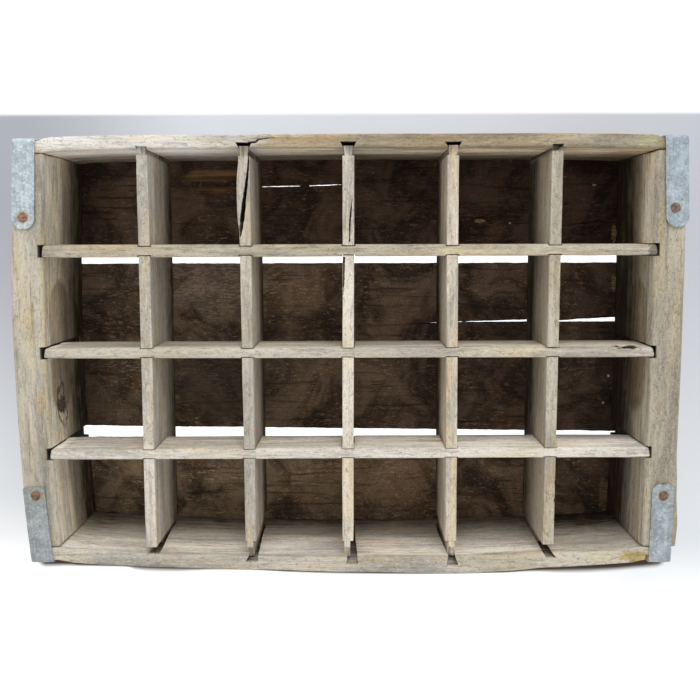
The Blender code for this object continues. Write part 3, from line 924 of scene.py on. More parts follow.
def settle(piece, material, nodes, stain_and_painted_light=None, fade_and_shade=None, creeping=False):
    """Gives a piece its stain with its painted light and shade, its finish and its place, and lets it stand
    for its CAD nodes.
    """
    mesh = piece.data
    for name, rule in (("stain_and_painted_light", stain_and_painted_light), ("fade_and_shade", fade_and_shade)):
        values = [rule(vertex.co) if rule else 0.0 for vertex in mesh.vertices]
        mesh.attributes.new(name, "FLOAT", "POINT").data.foreach_set("value", values)
    for vertex in mesh.vertices:
        shift = corner_shift(vertex.co) + middle
        if creeping:
            shift += creep(vertex.co)
        vertex.co += shift
    mesh.shade_smooth()
    mesh.set_sharp_from_angle(angle=math.radians(sharp_angle))
    mesh.materials.clear()
    mesh.materials.append(material)
    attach(piece, "root")
    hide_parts(*nodes)


# Walls


def stadium(reach, radius, pieces):
    """A rounded slot's outline, in its own plane."""
    points = []
    for side in (1, -1):
        for piece in range(pieces + 1):
            angle = math.pi * (piece / pieces - side / 2)
            points.append((side * reach + radius * math.cos(angle), radius * math.sin(angle)))
    return points


def scoop(name, end):
    """The hand-hold's cutter: a rounded slot whose back is coved."""
    sign = outward[end]
    face = half_length + bows[end]
    shape = bmesh.new()
    levels = [(-overrun, handhold_cove / 2), (0.0, 0.0), (handhold_depth - handhold_cove, 0.0)]
    for piece in range(1, cove_pieces + 1):
        angle = math.pi / 2 * piece / cove_pieces
        deep = handhold_depth - handhold_cove * (1 - math.sin(angle))
        levels.append((deep, handhold_cove * (1 - math.cos(angle))))
    rings = []
    reach = handhold_half_length - handhold_radius
    for deep, inset in levels:
        widened = -inset if deep < 0 else inset
        ring = []
        for along, up in stadium(reach, handhold_radius - widened, handhold_arc_pieces):
            place = Vector((sign * (face - deep), along, handhold_level + up))
            place += handhold_roughness * hash_noises(place, 120)
            ring.append(shape.verts.new(place))
        rings.append(ring)
    return lofted(shape, rings, name)


def handhold_trace(point):
    """1 inside the outline of the hand-hold as seen from inside the crate, and 0 outside it."""
    along = max(abs(point.y - trace_shift) - trace_straight, 0)
    ragged = trace_edge * hash_noise((point.y, point.z, 0), 120, 6)
    reach = math.hypot(along, point.z - trace_level) + ragged
    return smooth_step(trace_radius + trace_edge, trace_radius - trace_edge, reach)


def end_board(end, seed, material):
    """An end board, with grooves for the long dividers and its hand-hold."""
    sign = outward[end]
    low, high = plan("end_board_" + end)
    low.x, high.x = sorted((sign * half_length, sign * inner_half_length))

    def innerness(point):
        """1 on the inner face, falling to 0 before the outer one."""
        return smooth_step(0.6, 1.0, 1 - abs(point.x - sign * inner_half_length) / end_thickness)

    def wear(point):
        top = smooth_step(*worn_levels, point.z)
        return worn_edge + (worn_inner_edge - worn_edge) * innerness(point) * top

    def bend(point):
        recess = trace_depth * handhold_trace(point) * innerness(point)
        swell = between(point.y, left_swell if end == "left" else right_swell)
        outer = (abs(point.x) - inner_half_length) / end_thickness
        return Vector((sign * (end_bow(end, point.y) + recess + swell * outer), 0, 0))

    def fade_and_shade(point):
        """The browner wood inside the hand-hold's outline."""
        face = sign * inner_half_length
        away = abs(point.x - face - sign * end_bow(end, point.y))
        return trace_brownness * handhold_trace(point) * smooth_step(*trace_fades, away)

    board = plank("end_board_" + end + "_wood", low, high, 1, seed, wear, bend)
    cutters = [scoop("scoop_" + end, end)]
    for number, y in enumerate(long_places):
        face = inner_half_length + end_bow(end, y)
        deep = (sign * (face - overrun), sign * (face + groove_depth))
        groove = (deep, around(y, groove_half), (wall_base - overrun, rim + overrun))
        cutters.append(rough_block(f"groove_{end}_{number}", groove, seed=seed + number))
    carve(board, cutters)
    settle(board, material, ["end_board_" + end], dirt_and_painted_light_of_wall, fade_and_shade, creeping=True)


def socket(name, side, x, seed):
    """A flared socket, open at the rim, in a side board."""
    sign = outward[side]
    face = inner_half_width + side_bow(side, x)
    number = cross_places.index(x)
    depth, widening = odd_sockets.get((side, number), (socket_depth, socket_flare))
    mouth = foot = (-socket_mouth, socket_mouth)
    back = (-socket_mouth - widening, socket_mouth + widening)
    rim_depth = depth
    if side == "near":
        mouth, back, foot, rim_depth = near_sockets[number]

    def flare(point):
        """Widens the socket towards its back, and blends its shape at the rim into that at its foot."""
        share = max(0, (sign * point.y - face) / depth)
        sunk = smooth_step(rim, 0.04, point.z)
        left, right = [
            edge + (low_edge - edge) * sunk + (back_edge - edge) * share
            for edge, low_edge, back_edge in zip(mouth, foot, back)
        ]
        place = (point.x - x + socket_mouth) / (2 * socket_mouth)
        y = point.y
        if share > 0:
            y += sign * share * (rim_depth - depth) * smooth_step(0.010, 0.004, rim - point.z)
        return Vector((x + left + (right - left) * place, y, point.z))

    deep = (sign * (face - overrun), sign * (face + depth))
    spans = (around(x, socket_mouth), deep, (divider_base, rim + overrun))
    return rough_block(name, spans, joint_step, bend=flare, seed=seed)


def side_board(side, seed, material):
    """A side board with its five sockets."""
    sign = outward[side]
    low, high = plan("side_board_" + side)
    low.y, high.y = sorted((sign * half_width, sign * inner_half_width))

    def wear(point):
        inner = smooth_step(0.5, 1.0, 1 - abs(point.y - sign * inner_half_width) / side_thickness)
        top = smooth_step(*worn_levels, point.z)
        return worn_edge + side_inner_wear * inner * top

    def bend(point):
        outer = (abs(point.y) - inner_half_width) / side_thickness
        swell = between(point.x, near_swell) * outer if side == "near" else 0.0
        return Vector((0, sign * (side_bow(side, point.x) + swell), 0))

    board = plank("side_board_" + side + "_wood", low, high, 0, seed, wear, bend)
    cutters = [socket(f"socket_{side}_{n}", side, x, seed + n) for n, x in enumerate(cross_places)]
    if side == "far":
        x = cross_places[1]
        face = inner_half_width + side_bow(side, x)
        path = [
            (x + socket_mouth, face + 0.0040, 0.0018),
            (x + 0.0088, face + 0.0046, 0.0013),
            (x + 0.0104, face + 0.0064, 0.0012),
            (x + 0.0150, face + 0.0070, 0.0008),
            (x + 0.0225, face + 0.0076, 0.0002),
        ]
        cutters.append(fissure("far_board_crack", path, rim + overrun, rim - 0.03, 0.4, seed=seed))
        cutters.append(bite("far_board_chip", (-0.2035, half_width, rim), (0.0040, 0.0016, 0.0030), seed))
    carve(board, cutters)

    def fade_and_shade(point):
        """The far board is bleached at its left end and tanned towards its right."""
        return smooth_step(*far_fade, point.x)

    settle(board, material, ["side_board_" + side], dirt_and_painted_light_of_wall, fade_and_shade, creeping=True)


# Dividers


def tail_cheeks(number, ends, seed):
    """Cutters that leave a flared tail at each end of a cross divider, from its shoulder to its stop."""
    name = cross_names[number - 1]
    x = cross_places[number - 1]
    cutters = []
    for side in (-1, 1):
        for end, shoulder, stop in ends:
            sign = outward[end]
            slack = end == "near" and side == slack_sides[number - 1]
            neck = slack_neck_half if slack else neck_half
            tip = neck if slack else tail_half

            def taper(point, side=side, shoulder=shoulder, stop=stop, neck=neck, tip=tip):
                """Makes the cheek of the tail flare from its neck to its tip."""
                share = min(max((point.y - shoulder) / (stop - shoulder), 0), 1)
                return Vector((point.x + side * (tip - neck) * share, point.y, point.z))

            across = (x + side * neck, x + side * (cross_half + overrun))
            along = (shoulder, stop + sign * overrun)
            spans = (across, along, (divider_base - overrun, over_top))
            cheek = f"{name}_cheek_{end}_{side}"
            cutters.append(rough_block(cheek, spans, joint_step, bend=taper, seed=seed))
    return cutters


def cross_divider(number, seed, material, cracks=(), chips=(), bend=None):
    """A cross divider: tails in the sockets, and slots from the top for the long dividers."""
    name = cross_names[number - 1]
    x = cross_places[number - 1]
    low, high = plan(name)
    divider = plank(name + "_wood", low, high, 1, seed, lambda point: divider_worn_edge, bend)
    far_gap, far_stub = odd_ends.get((number, "far"), (far_shoulder_gap, None))
    near_gap, near_stub = odd_ends.get((number, "near"), (near_shoulder_gap, near_stub_length))
    far_shoulder = inner_half_width - far_gap
    near_shoulder = near_gap - inner_half_width
    ends = (("far", far_shoulder, high.y), ("near", near_shoulder, low.y))
    cutters = tail_cheeks(number, ends, seed)
    for y in long_places:
        across = (x - cross_half - overrun, x + cross_half + overrun)
        spans = (across, around(y, slot_half), (joint_level, over_top))
        cutters.append(rough_block(f"{name}_slot_{y:.3f}", spans, slot_step, slot_ragged))
    # The near tails' tops have broken away, and one of the far ones
    across = around(x, cross_half + clearance)
    broken_foot = divider_top - near_break_depth
    near_foot = broken_foot if near_stub else divider_top - deep_break
    spans = (across, (low.y - overrun, near_shoulder - near_stub), (near_foot, over_top))
    ragged = break_ragged if near_stub else deep_break_ragged
    cutters.append(rough_block(name + "_break", spans, break_step, ragged, seed=seed))
    if far_stub is not None:
        spans = (across, (far_shoulder + far_stub, high.y + overrun), (broken_foot, over_top))
        cutters.append(rough_block(name + "_far_break", spans, break_step, far_break_ragged, seed=seed))
    for order, path in enumerate(cracks):
        foot = over_top - divider_crack_depth
        cutters.append(fissure(f"{name}_crack_{order}", path, over_top, foot, 0.3, seed=seed + order))
    carve(divider, cutters + bites(name, chips, seed))

    def stain_and_painted_light(point):
        """The dividers' dirt and painted shade, and the dark inside of a split."""
        depth = divider_top - point.z
        inside = abs(point.x - x) < cross_half - 0.0006 and 0.0008 < depth < divider_crack_depth + 0.001
        if inside and any(off_path(point, path) < crack_dark_reach for path in cracks):
            return crack_darkness
        return dirt_and_painted_light_of_divider(point)

    settle(divider, material, [name], stain_and_painted_light, creeping=True)


def long_divider(label, seed, material, chips=()):
    """A long divider: notched from below and waisted at each crossing."""
    name = "long_divider_" + label
    y = long_places[long_names.index(name)]
    low, high = plan(name)

    def bend(point):
        """The far one is a little thicker towards its ends, and all are rounded off at their ends."""
        thinning, reach = long_end_wear
        thicker = -thinning * smooth_step(reach, 0.0, inner_half_length - abs(point.x))
        if label == "far":
            share = smooth_step(-0.21, 0.21, point.x)
            thicker += long_swell[0] * (1 - share) + long_swell[1] * share
        return Vector((0, (point.y - y) / long_half * thicker / 2, 0))

    def wear(point):
        """The upper edges towards the far side are rounded most."""
        return long_worn_edge if point.y < y or point.z < long_base + long_foot else long_far_wear

    divider = plank(name + "_wood", low, high, 0, seed, wear, bend)
    cutters = []
    for number, x in enumerate(cross_places):
        housing = around(x, housing_half)
        along = (low.y - overrun, high.y + overrun)
        spans = (housing, along, (long_base - overrun, joint_level + joint_gap))
        cutters.append(rough_block(f"{name}_notch_{number}", spans, slot_step, slot_ragged))
        for side in (-1, 1):
            along = (y + side * waist_half, y + side * (long_half + overrun))
            spans = (housing, along, (joint_level - clearance, over_top))
            waist = f"{name}_waist_{number}_{side}"
            cutters.append(rough_block(waist, spans, joint_step, waist_ragged, seed=seed + number))
    carve(divider, cutters + bites(name, chips, seed))
    settle(divider, material, [name], dirt_and_painted_light_of_wall, creeping=True)


# Bottom boards


def torn(point):
    """Where the far bottom board's face has torn and shows lighter wood."""
    share = 0.0
    for (x, y), (half_x, half_y) in torn_patches:
        reach = math.hypot((point.x - x) / half_x, (point.y - y) / half_y)
        reach += 0.35 * hash_noise((point.x * 0.3, point.y, 0), 260, 9)
        share = max(share, smooth_step(1.0, 0.6, reach))
    return share


def bottom_board(label, seed, base, cracks=(), marks=()):
    """A bottom board with ragged long edges.

    A crack is its path, its foot's level, how wide the foot is as a share of the top, and its drift.
    """
    name = "bottom_board_" + label
    low, high = plan(name)
    if label == "middle":
        edge_left, edge_right = [plan("bottom_board_near")[1].y + gap for gap in near_gaps]

    def bend(point):
        away = Vector((0, 0, 0))
        place = (point.x, 0, 0)
        ragged = ragged_edge * hash_noise(place, 60, seed) + ragged_edge * hash_noise(place, 420, seed)
        share = (point.y - low.y) / (high.y - low.y)
        away.y = ragged * (2 * share - 1)
        if label == "middle":
            edge = edge_left + (edge_right - edge_left) * (point.x + half_length) / (2 * half_length)
            away.y += (edge - low.y) * (1 - share)
        return away

    board = plank(name + "_wood", low, high, 0, seed, lambda point: floor_worn_edge, bend)
    cutters = []
    for order, (path, *foot) in enumerate(cracks):
        crack = f"{name}_crack_{order}"
        cutters.append(fissure(crack, path, floor_top + overrun, *foot, seed=seed + order))
    if cutters:
        carve(board, cutters)
    finish = floor_wood(name + "_finish", seed, base, marks)
    settle(board, finish, [name], stain_of_floor, torn)


# Straps

# Each strap: how far it reaches over the rim and drifts outwards on the way, the radius of its end's
# corners, its colour, how dark the painted shade along its creases and bent edges is, and how rusty it is
# round the nail
strap_facts = {
    "far_left": (0.0620, 0.0030, 0.0066, (188, 200, 206), 0.6, 0.6),
    "far_right": (0.0615, 0.0030, 0.0072, (169, 181, 190), 0.25, 0.15),
    "near_left": (0.0570, 0.0042, 0.0022, (164, 171, 172), 0.35, 0.7),
    "near_right": (0.0585, 0.0006, 0.0050, (170, 180, 185), 0.75, 0.7),
}
strap_half = 0.0079
strap_side_reach = 0.038
strap_side_corner = 0.0045
strap_thickness = 0.0009
strap_cut_edge = 0.0002
strap_crease = 0.70  # of the half width
strap_bend_radius = 0.0016
strap_gap = 0.0003
strap_steps = (40, 7, 16)  # along its rim leg, its bend and its side leg
# Places across half the strap, closer together at its crease
strap_places = [0.1, 0.35, 0.55, 0.64, 0.70, 0.76, 0.85, 0.94, 1]
# How deep the sheet's dents, its creases, its rolled edges and its ragged edges are
strap_dents = (0.00016, 0.00007)
strap_crease_depth = 0.00022
strap_rolled_edge = 0.00022
strap_ragged = 0.00025
strap_lift = 0.0002
halo_reach = (0.0062, 0.0036)


def strap_line(reach):
    """Outwards and upwards places along the strap, from its end on the rim to its end on the side."""
    rim_steps, bend_steps, side_steps = strap_steps
    line = []
    # The rows lie closer together where the strap's end is round
    flat = reach - strap_bend_radius + strap_gap
    for step in range(rim_steps + 1):
        share = step / rim_steps
        line.append((flat * (0.35 * share + 0.65 * share * share) - reach, rim + strap_gap))
    for step in range(1, bend_steps):
        angle = math.pi / 2 * step / bend_steps
        out = strap_gap - strap_bend_radius + strap_bend_radius * math.sin(angle)
        line.append((out, rim + strap_gap - strap_bend_radius * (1 - math.cos(angle))))
    top = rim + strap_gap - strap_bend_radius
    for step in range(side_steps + 1):
        line.append((strap_gap, top - (strap_side_reach - strap_bend_radius) * step / side_steps))
    return line


def strap_middle(corner, end, inwards):
    """Where the strap's middle line runs across the end board."""
    reach, skew = strap_facts[corner][:2]
    return outward[end] * (half_length - strap_half + skew * inwards / reach)


def strap_sheet(corner, side, end, seed):
    """A bent strip of sheet with rounded ends, creased and dented a little."""
    reach, _, end_radius = strap_facts[corner][:3]
    sign = outward[side]
    line = strap_line(reach)
    shape = bmesh.new()
    across = [-share for share in reversed(strap_places)] + strap_places
    rows = []
    runs = [0.0]
    for (out_a, up_a), (out_b, up_b) in zip(line, line[1:]):
        runs.append(runs[-1] + math.hypot(out_b - out_a, up_b - up_a))
    for number, (out, up) in enumerate(line):
        from_end = min(runs[number], runs[-1] - runs[number])
        radius = end_radius if runs[number] < runs[-1] / 2 else strap_side_corner
        narrowing = 0.0
        if from_end < radius:
            narrowing = radius - math.sqrt(max(0, radius * radius - (radius - from_end) ** 2))
        half = strap_half - narrowing
        centre = strap_middle(corner, end, max(0, -out))
        row = []
        for share in across:
            x = centre + share * half
            place = (x, out, up)
            broad, small = strap_dents
            lift = broad * hash_noise(place, 95, seed) + small * hash_noise(place, 260, seed)
            lift += strap_rolled_edge * smooth_step(0.98, 0.75, abs(share)) + strap_lift
            lift -= strap_crease_depth * smooth_step(0.09, 0.0, abs(abs(share) - strap_crease))
            ragged = strap_ragged * hash_noise(place, 210, seed + 3) * smooth_step(0.7, 1.0, abs(share))
            if out < 0:
                place = (x + ragged, sign * (half_width + out), up + lift)
            else:
                place = (x + ragged, sign * (half_width + out + lift), up)
            row.append(shape.verts.new(place))
        rows.append(row)
    for first, second in zip(rows, rows[1:]):
        for number in range(len(across) - 1):
            shape.faces.new((first[number], first[number + 1], second[number + 1], second[number]))
    bmesh.ops.recalc_face_normals(shape, faces=shape.faces)
    if shape.faces[:][0].normal.z < 0:
        bmesh.ops.reverse_faces(shape, faces=shape.faces[:])
    strap = object_from(shape, "corner_strap_" + corner + "_sheet")
    solidify = strap.modifiers.new("sheet", "SOLIDIFY")
    solidify.thickness = strap_thickness
    solidify.offset = 1
    bevel = strap.modifiers.new("cut_edges", "BEVEL")
    bevel.width = strap_cut_edge
    bevel.segments = 1
    bevel.limit_method = "ANGLE"
    carve(strap, [])
    return strap


def corner_strap(side, end, seed):
    """A strap with painted shade along its creases and bent edges, and rust run out round its nail."""
    corner = side + "_" + end
    colour, crease_shade_share, halo_share = strap_facts[corner][3:]
    strap = strap_sheet(corner, side, end, seed)
    nail_low, nail_high = plan("rim_strap_nail_" + corner)
    nail_place = (nail_low + nail_high) / 2
    nail_place.z = rim

    def halo(point):
        return halo_share * smooth_step(*halo_reach, (point - nail_place).length)

    def crease_shade(point):
        """Painted shade: dark lines along both creases, and the bent-down edges beyond them darker."""
        centre = strap_middle(corner, end, max(0, half_width - abs(point.y)))
        across = abs(point.x - centre) / strap_half
        worn = 0.5 + 0.9 * hash_noise((0, point.y, 0), 70, seed + 9) + 0.4 * hash_noise(point, 260, seed)
        line = smooth_step(0.10, 0.03, abs(across - strap_crease))
        bent_edge_shade = 0.45 * smooth_step(strap_crease, strap_crease + 0.1, across)
        return crease_shade_share * (min(max(worn, 0.1), 1.3) * line + bent_edge_shade * (1 - line))

    finish = zinc("zinc_" + corner, seed, colour)
    settle(strap, finish, ["corner_strap_" + corner], halo, crease_shade)


# Nails

nail_colours = {"far_left": (158, 122, 102), "near_left": (138, 110, 92), "near_right": (128, 108, 92)}
plain_nail_colour = (136, 112, 100)
nail_sides = 20
# The head's outline below its top: shares of its radius and of its height
nail_head = [(0.35, 0.98), (0.62, 0.90), (0.84, 0.70), (0.96, 0.42), (1.0, 0.16), (0.97, 0.0)]
nail_batter = 0.00018
nail_shank_radius = 0.0012
nail_point_length = 0.004
rim_head_growth = 1.12
strap_nail_cap = 0.0015
wood_nail_cap = 0.0012
nail_directions = {"rim_strap_nail": (0, 0, 1), "bottom_nail": (0, 0, -1)}


def nail(name, place, outwards, head_radius, cap, length, seed):
    """A wire nail with a slightly battered head, its head's underside at the place."""
    rings = [(radius * head_radius, height * cap) for radius, height in nail_head]
    rings += [(nail_shank_radius, 0.0), (nail_shank_radius, nail_point_length - length)]
    shape = bmesh.new()
    top = shape.verts.new((0, 0, cap))
    tip = shape.verts.new((0, 0, -length))
    made = []
    for radius, height in rings:
        ring = []
        for number in range(nail_sides):
            angle = 2 * math.pi * number / nail_sides
            point = Vector((radius * math.cos(angle), radius * math.sin(angle), height))
            if height > 0:
                point += nail_batter * hash_noises(point, 420, seed)
            ring.append(shape.verts.new(point))
        made.append(ring)
    for first, second in zip(made, made[1:]):
        for number in range(nail_sides):
            following = (number + 1) % nail_sides
            shape.faces.new((first[number], second[number], second[following], first[following]))
    for number in range(nail_sides):
        following = (number + 1) % nail_sides
        shape.faces.new((top, made[0][number], made[0][following]))
        shape.faces.new((tip, made[-1][following], made[-1][number]))
    turn = Vector(outwards).to_track_quat("Z", "Y").to_matrix().to_4x4()
    shape.transform(Matrix.Translation(place) @ turn)
    piece = object_from(shape, name + "_steel")
    colour = nail_colours.get(name.removeprefix("rim_strap_nail_"), plain_nail_colour)
    settle(piece, rust(name + "_rust", seed, colour), [name])


def nails_as_in_frame():
    """Each nail of the frame, read from its box: the head lies at the end that its direction names."""
    names = [name for name in sorted(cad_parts) if "nail" in name]
    for seed, name in enumerate(names, 101):
        low, high = plan(name)
        sideways = (0, 1, 0) if "_far_" in name else (0, -1, 0)
        kinds = [kind for kind in nail_directions if name.startswith(kind)]
        outwards = Vector(nail_directions[kinds[0]] if kinds else sideways)
        head_radius = (high.x - low.x) / 2 * (rim_head_growth if name.startswith("rim") else 1)
        cap = strap_nail_cap if "strap" in name else wood_nail_cap
        axis = max(range(3), key=lambda a: abs(outwards[a]))
        length = high[axis] - low[axis] - cap
        head_end = high[axis] if outwards[axis] > 0 else low[axis]
        place = (low + high) / 2
        place[axis] = head_end - outwards[axis] * cap
        nail(name, place, outwards, head_radius, cap, length, seed)


# The crate


def build_boards():
    knot = ((-0.2178, -0.040, 0.068), (0.007, 0.007, 0.012), (92, 84, 70), 2)
    gold = ((-0.2235, -0.034, rim), (0.0035, 0.010, 0.004), (206, 178, 130), 0.55)
    grey = ((-0.229, -0.078, rim), (0.012, 0.022, 0.006), (176, 170, 156), 0.6)
    arris = ((-0.2180, 0.030, rim), (0.0020, 0.075, 0.004), (210, 190, 138), 0.6)
    trace = (152, 139, 117)
    left = wood("end_left_finish", 1, 1, (197, 188, 169), 0.6, trace, [knot, gold, grey, arris])
    end_board("left", 1, left)
    end_board("right", 2, wood("end_right_finish", 1, 2, (184, 175, 155), 0.45, (160, 144, 118)))
    green = ((0.2080, 0.1500, rim), (0.010, 0.006, 0.005), (192, 184, 146), 0.6)
    pale = ((0.182, 0.1480, rim), (0.045, 0.008, 0.008), (182, 173, 152), 0.8)
    tan = ((-0.034, 0.1480, rim), (0.038, 0.008, 0.006), (184, 163, 128), 0.8)
    # Painted light: a paler patch on the far board's inner face below the rim
    far_inside_painted_light = ((0.080, inner_half_width, 0.046), (0.150, 0.012, 0.046), (214, 203, 182), 0.85)
    far = wood("side_far_finish", 0, 3, (228, 223, 213), 0.45, (172, 155, 127), [pale, green, far_inside_painted_light, tan])
    side_board("far", 3, far)
    yellow = ((0.2085, -0.1490, rim), (0.012, 0.0045, 0.005), (176, 156, 98), 0.9)
    pale = ((0.186, -0.1490, rim), (0.016, 0.006, 0.005), (198, 188, 158), 0.6)
    rusty = ((0.2178, -0.1500, rim), (0.0012, 0.0024, 0.004), (134, 74, 46), 0.9)
    grey = ((0.112, -0.1530, rim), (0.040, 0.008, 0.008), (180, 172, 152), 0.7)
    light = ((-0.185, -0.1500, rim), (0.040, 0.008, 0.008), (208, 202, 188), 0.6)
    near = wood("side_near_finish", 0, 4, (199, 190, 174), 0.3, None, [grey, light, pale, yellow, rusty])
    side_board("near", 4, near)


def build_dividers():
    x = cross_places
    split = [(0.0036, 0.1420, 0.0008), (0.0027, 0.1310, 0.0015), (0.0013, 0.1205, 0.0021)]
    split += [(-0.0003, 0.1100, 0.0028), (-0.0016, 0.1000, 0.0032), (-0.0028, 0.0910, 0.0026)]
    split += [(-0.0034, 0.0852, 0.0005)]
    thin = [(0.0026, 0.112, 0.0003), (0.0012, 0.098, 0.0012), (0.0008, 0.0815, 0.0008)]
    edge = [(-0.0030, 0.071, 0.0014), (-0.0032, 0.055, 0.0010), (-0.0036, 0.044, 0.0003)]
    cracks = {2: [split], 3: [thin, edge]}

    def bulge(point):
        """The sliver left of the split stands out."""
        along_it = smooth_step(0.084, 0.104, point.y) * smooth_step(0.142, 0.120, point.y)
        left_of_it = smooth_step(x[1] + 0.0010, x[1] - 0.0040, point.x)
        return Vector((-0.0015 * along_it * left_of_it * smooth_step(0.050, 0.085, point.z), 0, 0))

    tones = [(216, 208, 193), (200, 191, 175), (224, 214, 197), (218, 207, 188), (190, 181, 163)]
    golden = [0.4, 0.4, 0.5, 0.6, 0.5]
    nicks = [((x[4] + cross_half, -0.0940, divider_top), (0.0012, 0.0030, 0.0022))]
    nicks.append(((x[4] + cross_half, -0.1075, divider_top), (0.0014, 0.0022, 0.0030)))
    for number, base in enumerate(tones, 1):
        finish = wood(f"cross_{number}_finish", 1, 10 + number, base, golden[number - 1])
        paths = [
            [(x[number - 1] + aside, y, width) for aside, y, width in path]
            for path in cracks.get(number, ())
        ]
        chips = nicks if number == 5 else ()
        bend = bulge if number == 2 else None
        cross_divider(number, 10 + number, finish, paths, chips, bend)
    tones = {"far": (186, 176, 157), "middle": (197, 188, 172), "near": (220, 212, 198)}
    golden = {"far": 0.5, "middle": 0.6, "near": 0.35}
    pale = ((0.110, long_places[1], divider_top), (0.040, 0.008, 0.010), (236, 222, 193), 1.0)
    lighter = ((0.105, long_places[0], divider_top), (0.050, 0.008, 0.010), (204, 193, 170), 0.9)
    dark = ((0.2165, long_places[0], divider_top), (0.0060, 0.008, 0.008), (124, 117, 106), 0.9)
    arris = long_places[1] + long_half
    hollow = (0.198, arris, divider_top - 0.0035)
    # Painted shade: the inside of the hollow in the middle divider's far arris is made nearly black
    hollow_painted_shade = (hollow, (0.0105, 0.0026, 0.0042), (46, 38, 32), 1.0)
    hollows = [(hollow, (0.0095, 0.0022, 0.0032))]
    arris = long_places[2] + long_half
    chewed = [((0.108, arris, divider_top), (0.0090, 0.0016, 0.0018))]
    chewed.append(((0.126, arris, divider_top), (0.0110, 0.0019, 0.0020)))
    for order, (label, base) in enumerate(tones.items()):
        marks = {"middle": [pale, hollow_painted_shade], "far": [lighter, dark]}.get(label, ())
        chips = {"middle": hollows, "near": chewed}.get(label, ())
        finish = wood(f"long_{label}_finish", 0, 20 + order, base, golden[label], None, marks)
        long_divider(label, 20 + order, finish, chips)


def build_floor_boards():
    far_crack = [
        [(-0.0716, 0.1256, 0.0004), (-0.056, 0.1259, 0.0007), (-0.0403, 0.1261, 0.0004)],
        [(-0.0331, 0.1263, 0.0004), (-0.020, 0.1268, 0.0007), (-0.0072, 0.1272, 0.0003)],
    ]
    slanted = [(0.1705, 0.0938, 0.0003), (0.1800, 0.0950, 0.0009), (0.1980, 0.0978, 0.0008)]
    slanted.append((0.2089, 0.0993, 0.0003))
    split = [
        (0.006, 0.0128, 0.0002),
        (0.050, 0.0148, 0.0005),
        (0.088, 0.0162, 0.0009),
        (0.1446, 0.01715, 0.0023),
        (0.160, 0.0170, 0.0021),
        (0.174, 0.0168, 0.0017),
        (0.186, 0.0173, 0.0027),
        (0.2167, 0.0181, 0.0041),
        (0.240, 0.0182, 0.0044),
    ]
    # The far crack leans as the line of sight does, so that light shows through it
    far_cracks = [(path, -overrun, 0.9, 0.0008) for path in far_crack]
    far_cracks.append((slanted, floor_top * 0.6, 0.3, 0.0))
    white = (214, 206, 190)
    tan = (150, 122, 90)
    olive = (128, 120, 84)
    far_marks = [
        ((0.1286, 0.0963, floor_top), (0.0010, 0.0008, 0.003), white, 0.9),
        ((0.1960, 0.1263, floor_top), (0.0018, 0.0009, 0.003), white, 0.6),
        ((0.1045, 0.0980, floor_top), (0.0044, 0.0015, 0.003), (182, 148, 108), 1.0),
        ((0.2128, 0.0880, floor_top), (0.0020, 0.0075, 0.003), tan, 0.9),
    ]
    middle_marks = [
        ((0.2140, 0.0480, floor_top), (0.0022, 0.0070, 0.003), olive, 0.8),
        ((-0.1080, -0.0350, floor_top), (0.044, 0.034, 0.004), (70, 58, 50), 0.7),
        ((-0.1080, 0.0450, floor_top), (0.036, 0.026, 0.004), (152, 133, 116), 0.7),
        ((0.2120, -0.0284, floor_top), (0.0010, 0.0012, 0.003), white, 0.9),
        ((0.2085, -0.0507, floor_top), (0.0009, 0.0007, 0.003), white, 0.9),
    ]
    near_marks = [((0.2120, -0.1300, floor_top), (0.0045, 0.0160, 0.003), tan, 0.5)]
    near_marks.append(((0.1455, -0.1440, floor_top), (0.0010, 0.0010, 0.003), white, 0.9))
    bottom_board("far", 31, (88, 72, 60), far_cracks, far_marks)
    bottom_board("middle", 32, (108, 91, 75), [(split, -overrun, 1.0, 0.0)], middle_marks)
    bottom_board("near", 33, (124, 106, 86), (), near_marks)


def build_straps():
    for number, corner in enumerate(strap_facts):
        corner_strap(*corner.split("_"), 50 + number)


build_boards()
build_dividers()
build_floor_boards()
build_straps()
nails_as_in_frame()


# Floor, light and camera

floor_level = -0.0004
floor_half = 4
backdrop_white = tone(255, 255, 255)
glow_strength = 1.25
# How much of the floor's look is its own light: behind the crate, and in front of it
glow_share = 0.45
near_glow_share = 0.8
backdrop_end = 0.1835  # where the grey backdrop gives way to white behind the crate
shadow_colour = (66, 56, 48)
# The shadow's sides, and the slant of its ends
shadow_sides = (0.271, 0.262)
shadow_slant = 1.3
shadow_slant_sides = (0.2420, 0.2340)
shadow_inner_reach = 0.03
under_inset = 0.01  # within the crate's outline by this much, the floor is white, to show through the gaps
world_strength = 0.76
key_place = (0.15, 1.90, 1.50)
key_target = (0, 0, 0.05)
key_size = 1.2
key_power = 23
# The dark shadow beyond the near side: a place along the crate, and where it is full and where it ends
near_shadow = [
    (-0.270, -0.1895, -0.1899),
    (-0.262, -0.1908, -0.1966),
    (-0.248, -0.1909, -0.1958),
    (-0.233, -0.1922, -0.1953),
    (-0.198, -0.1936, -0.1953),
    (-0.185, -0.1940, -0.1985),
    (-0.160, -0.1949, -0.2007),
    (-0.134, -0.1958, -0.1994),
    (-0.108, -0.1963, -0.1981),
    (-0.044, -0.1986, -0.2008),
    (-0.001, -0.1995, -0.2022),
    (0.068, -0.2004, -0.2022),
    (0.128, -0.1996, -0.2009),
    (0.153, -0.1974, -0.2005),
    (0.187, -0.1960, -0.2023),
    (0.213, -0.1952, -0.2010),
    (0.243, -0.1930, -0.1983),
    (0.260, -0.1912, -0.1970),
    (0.270, -0.1899, -0.1903),
]


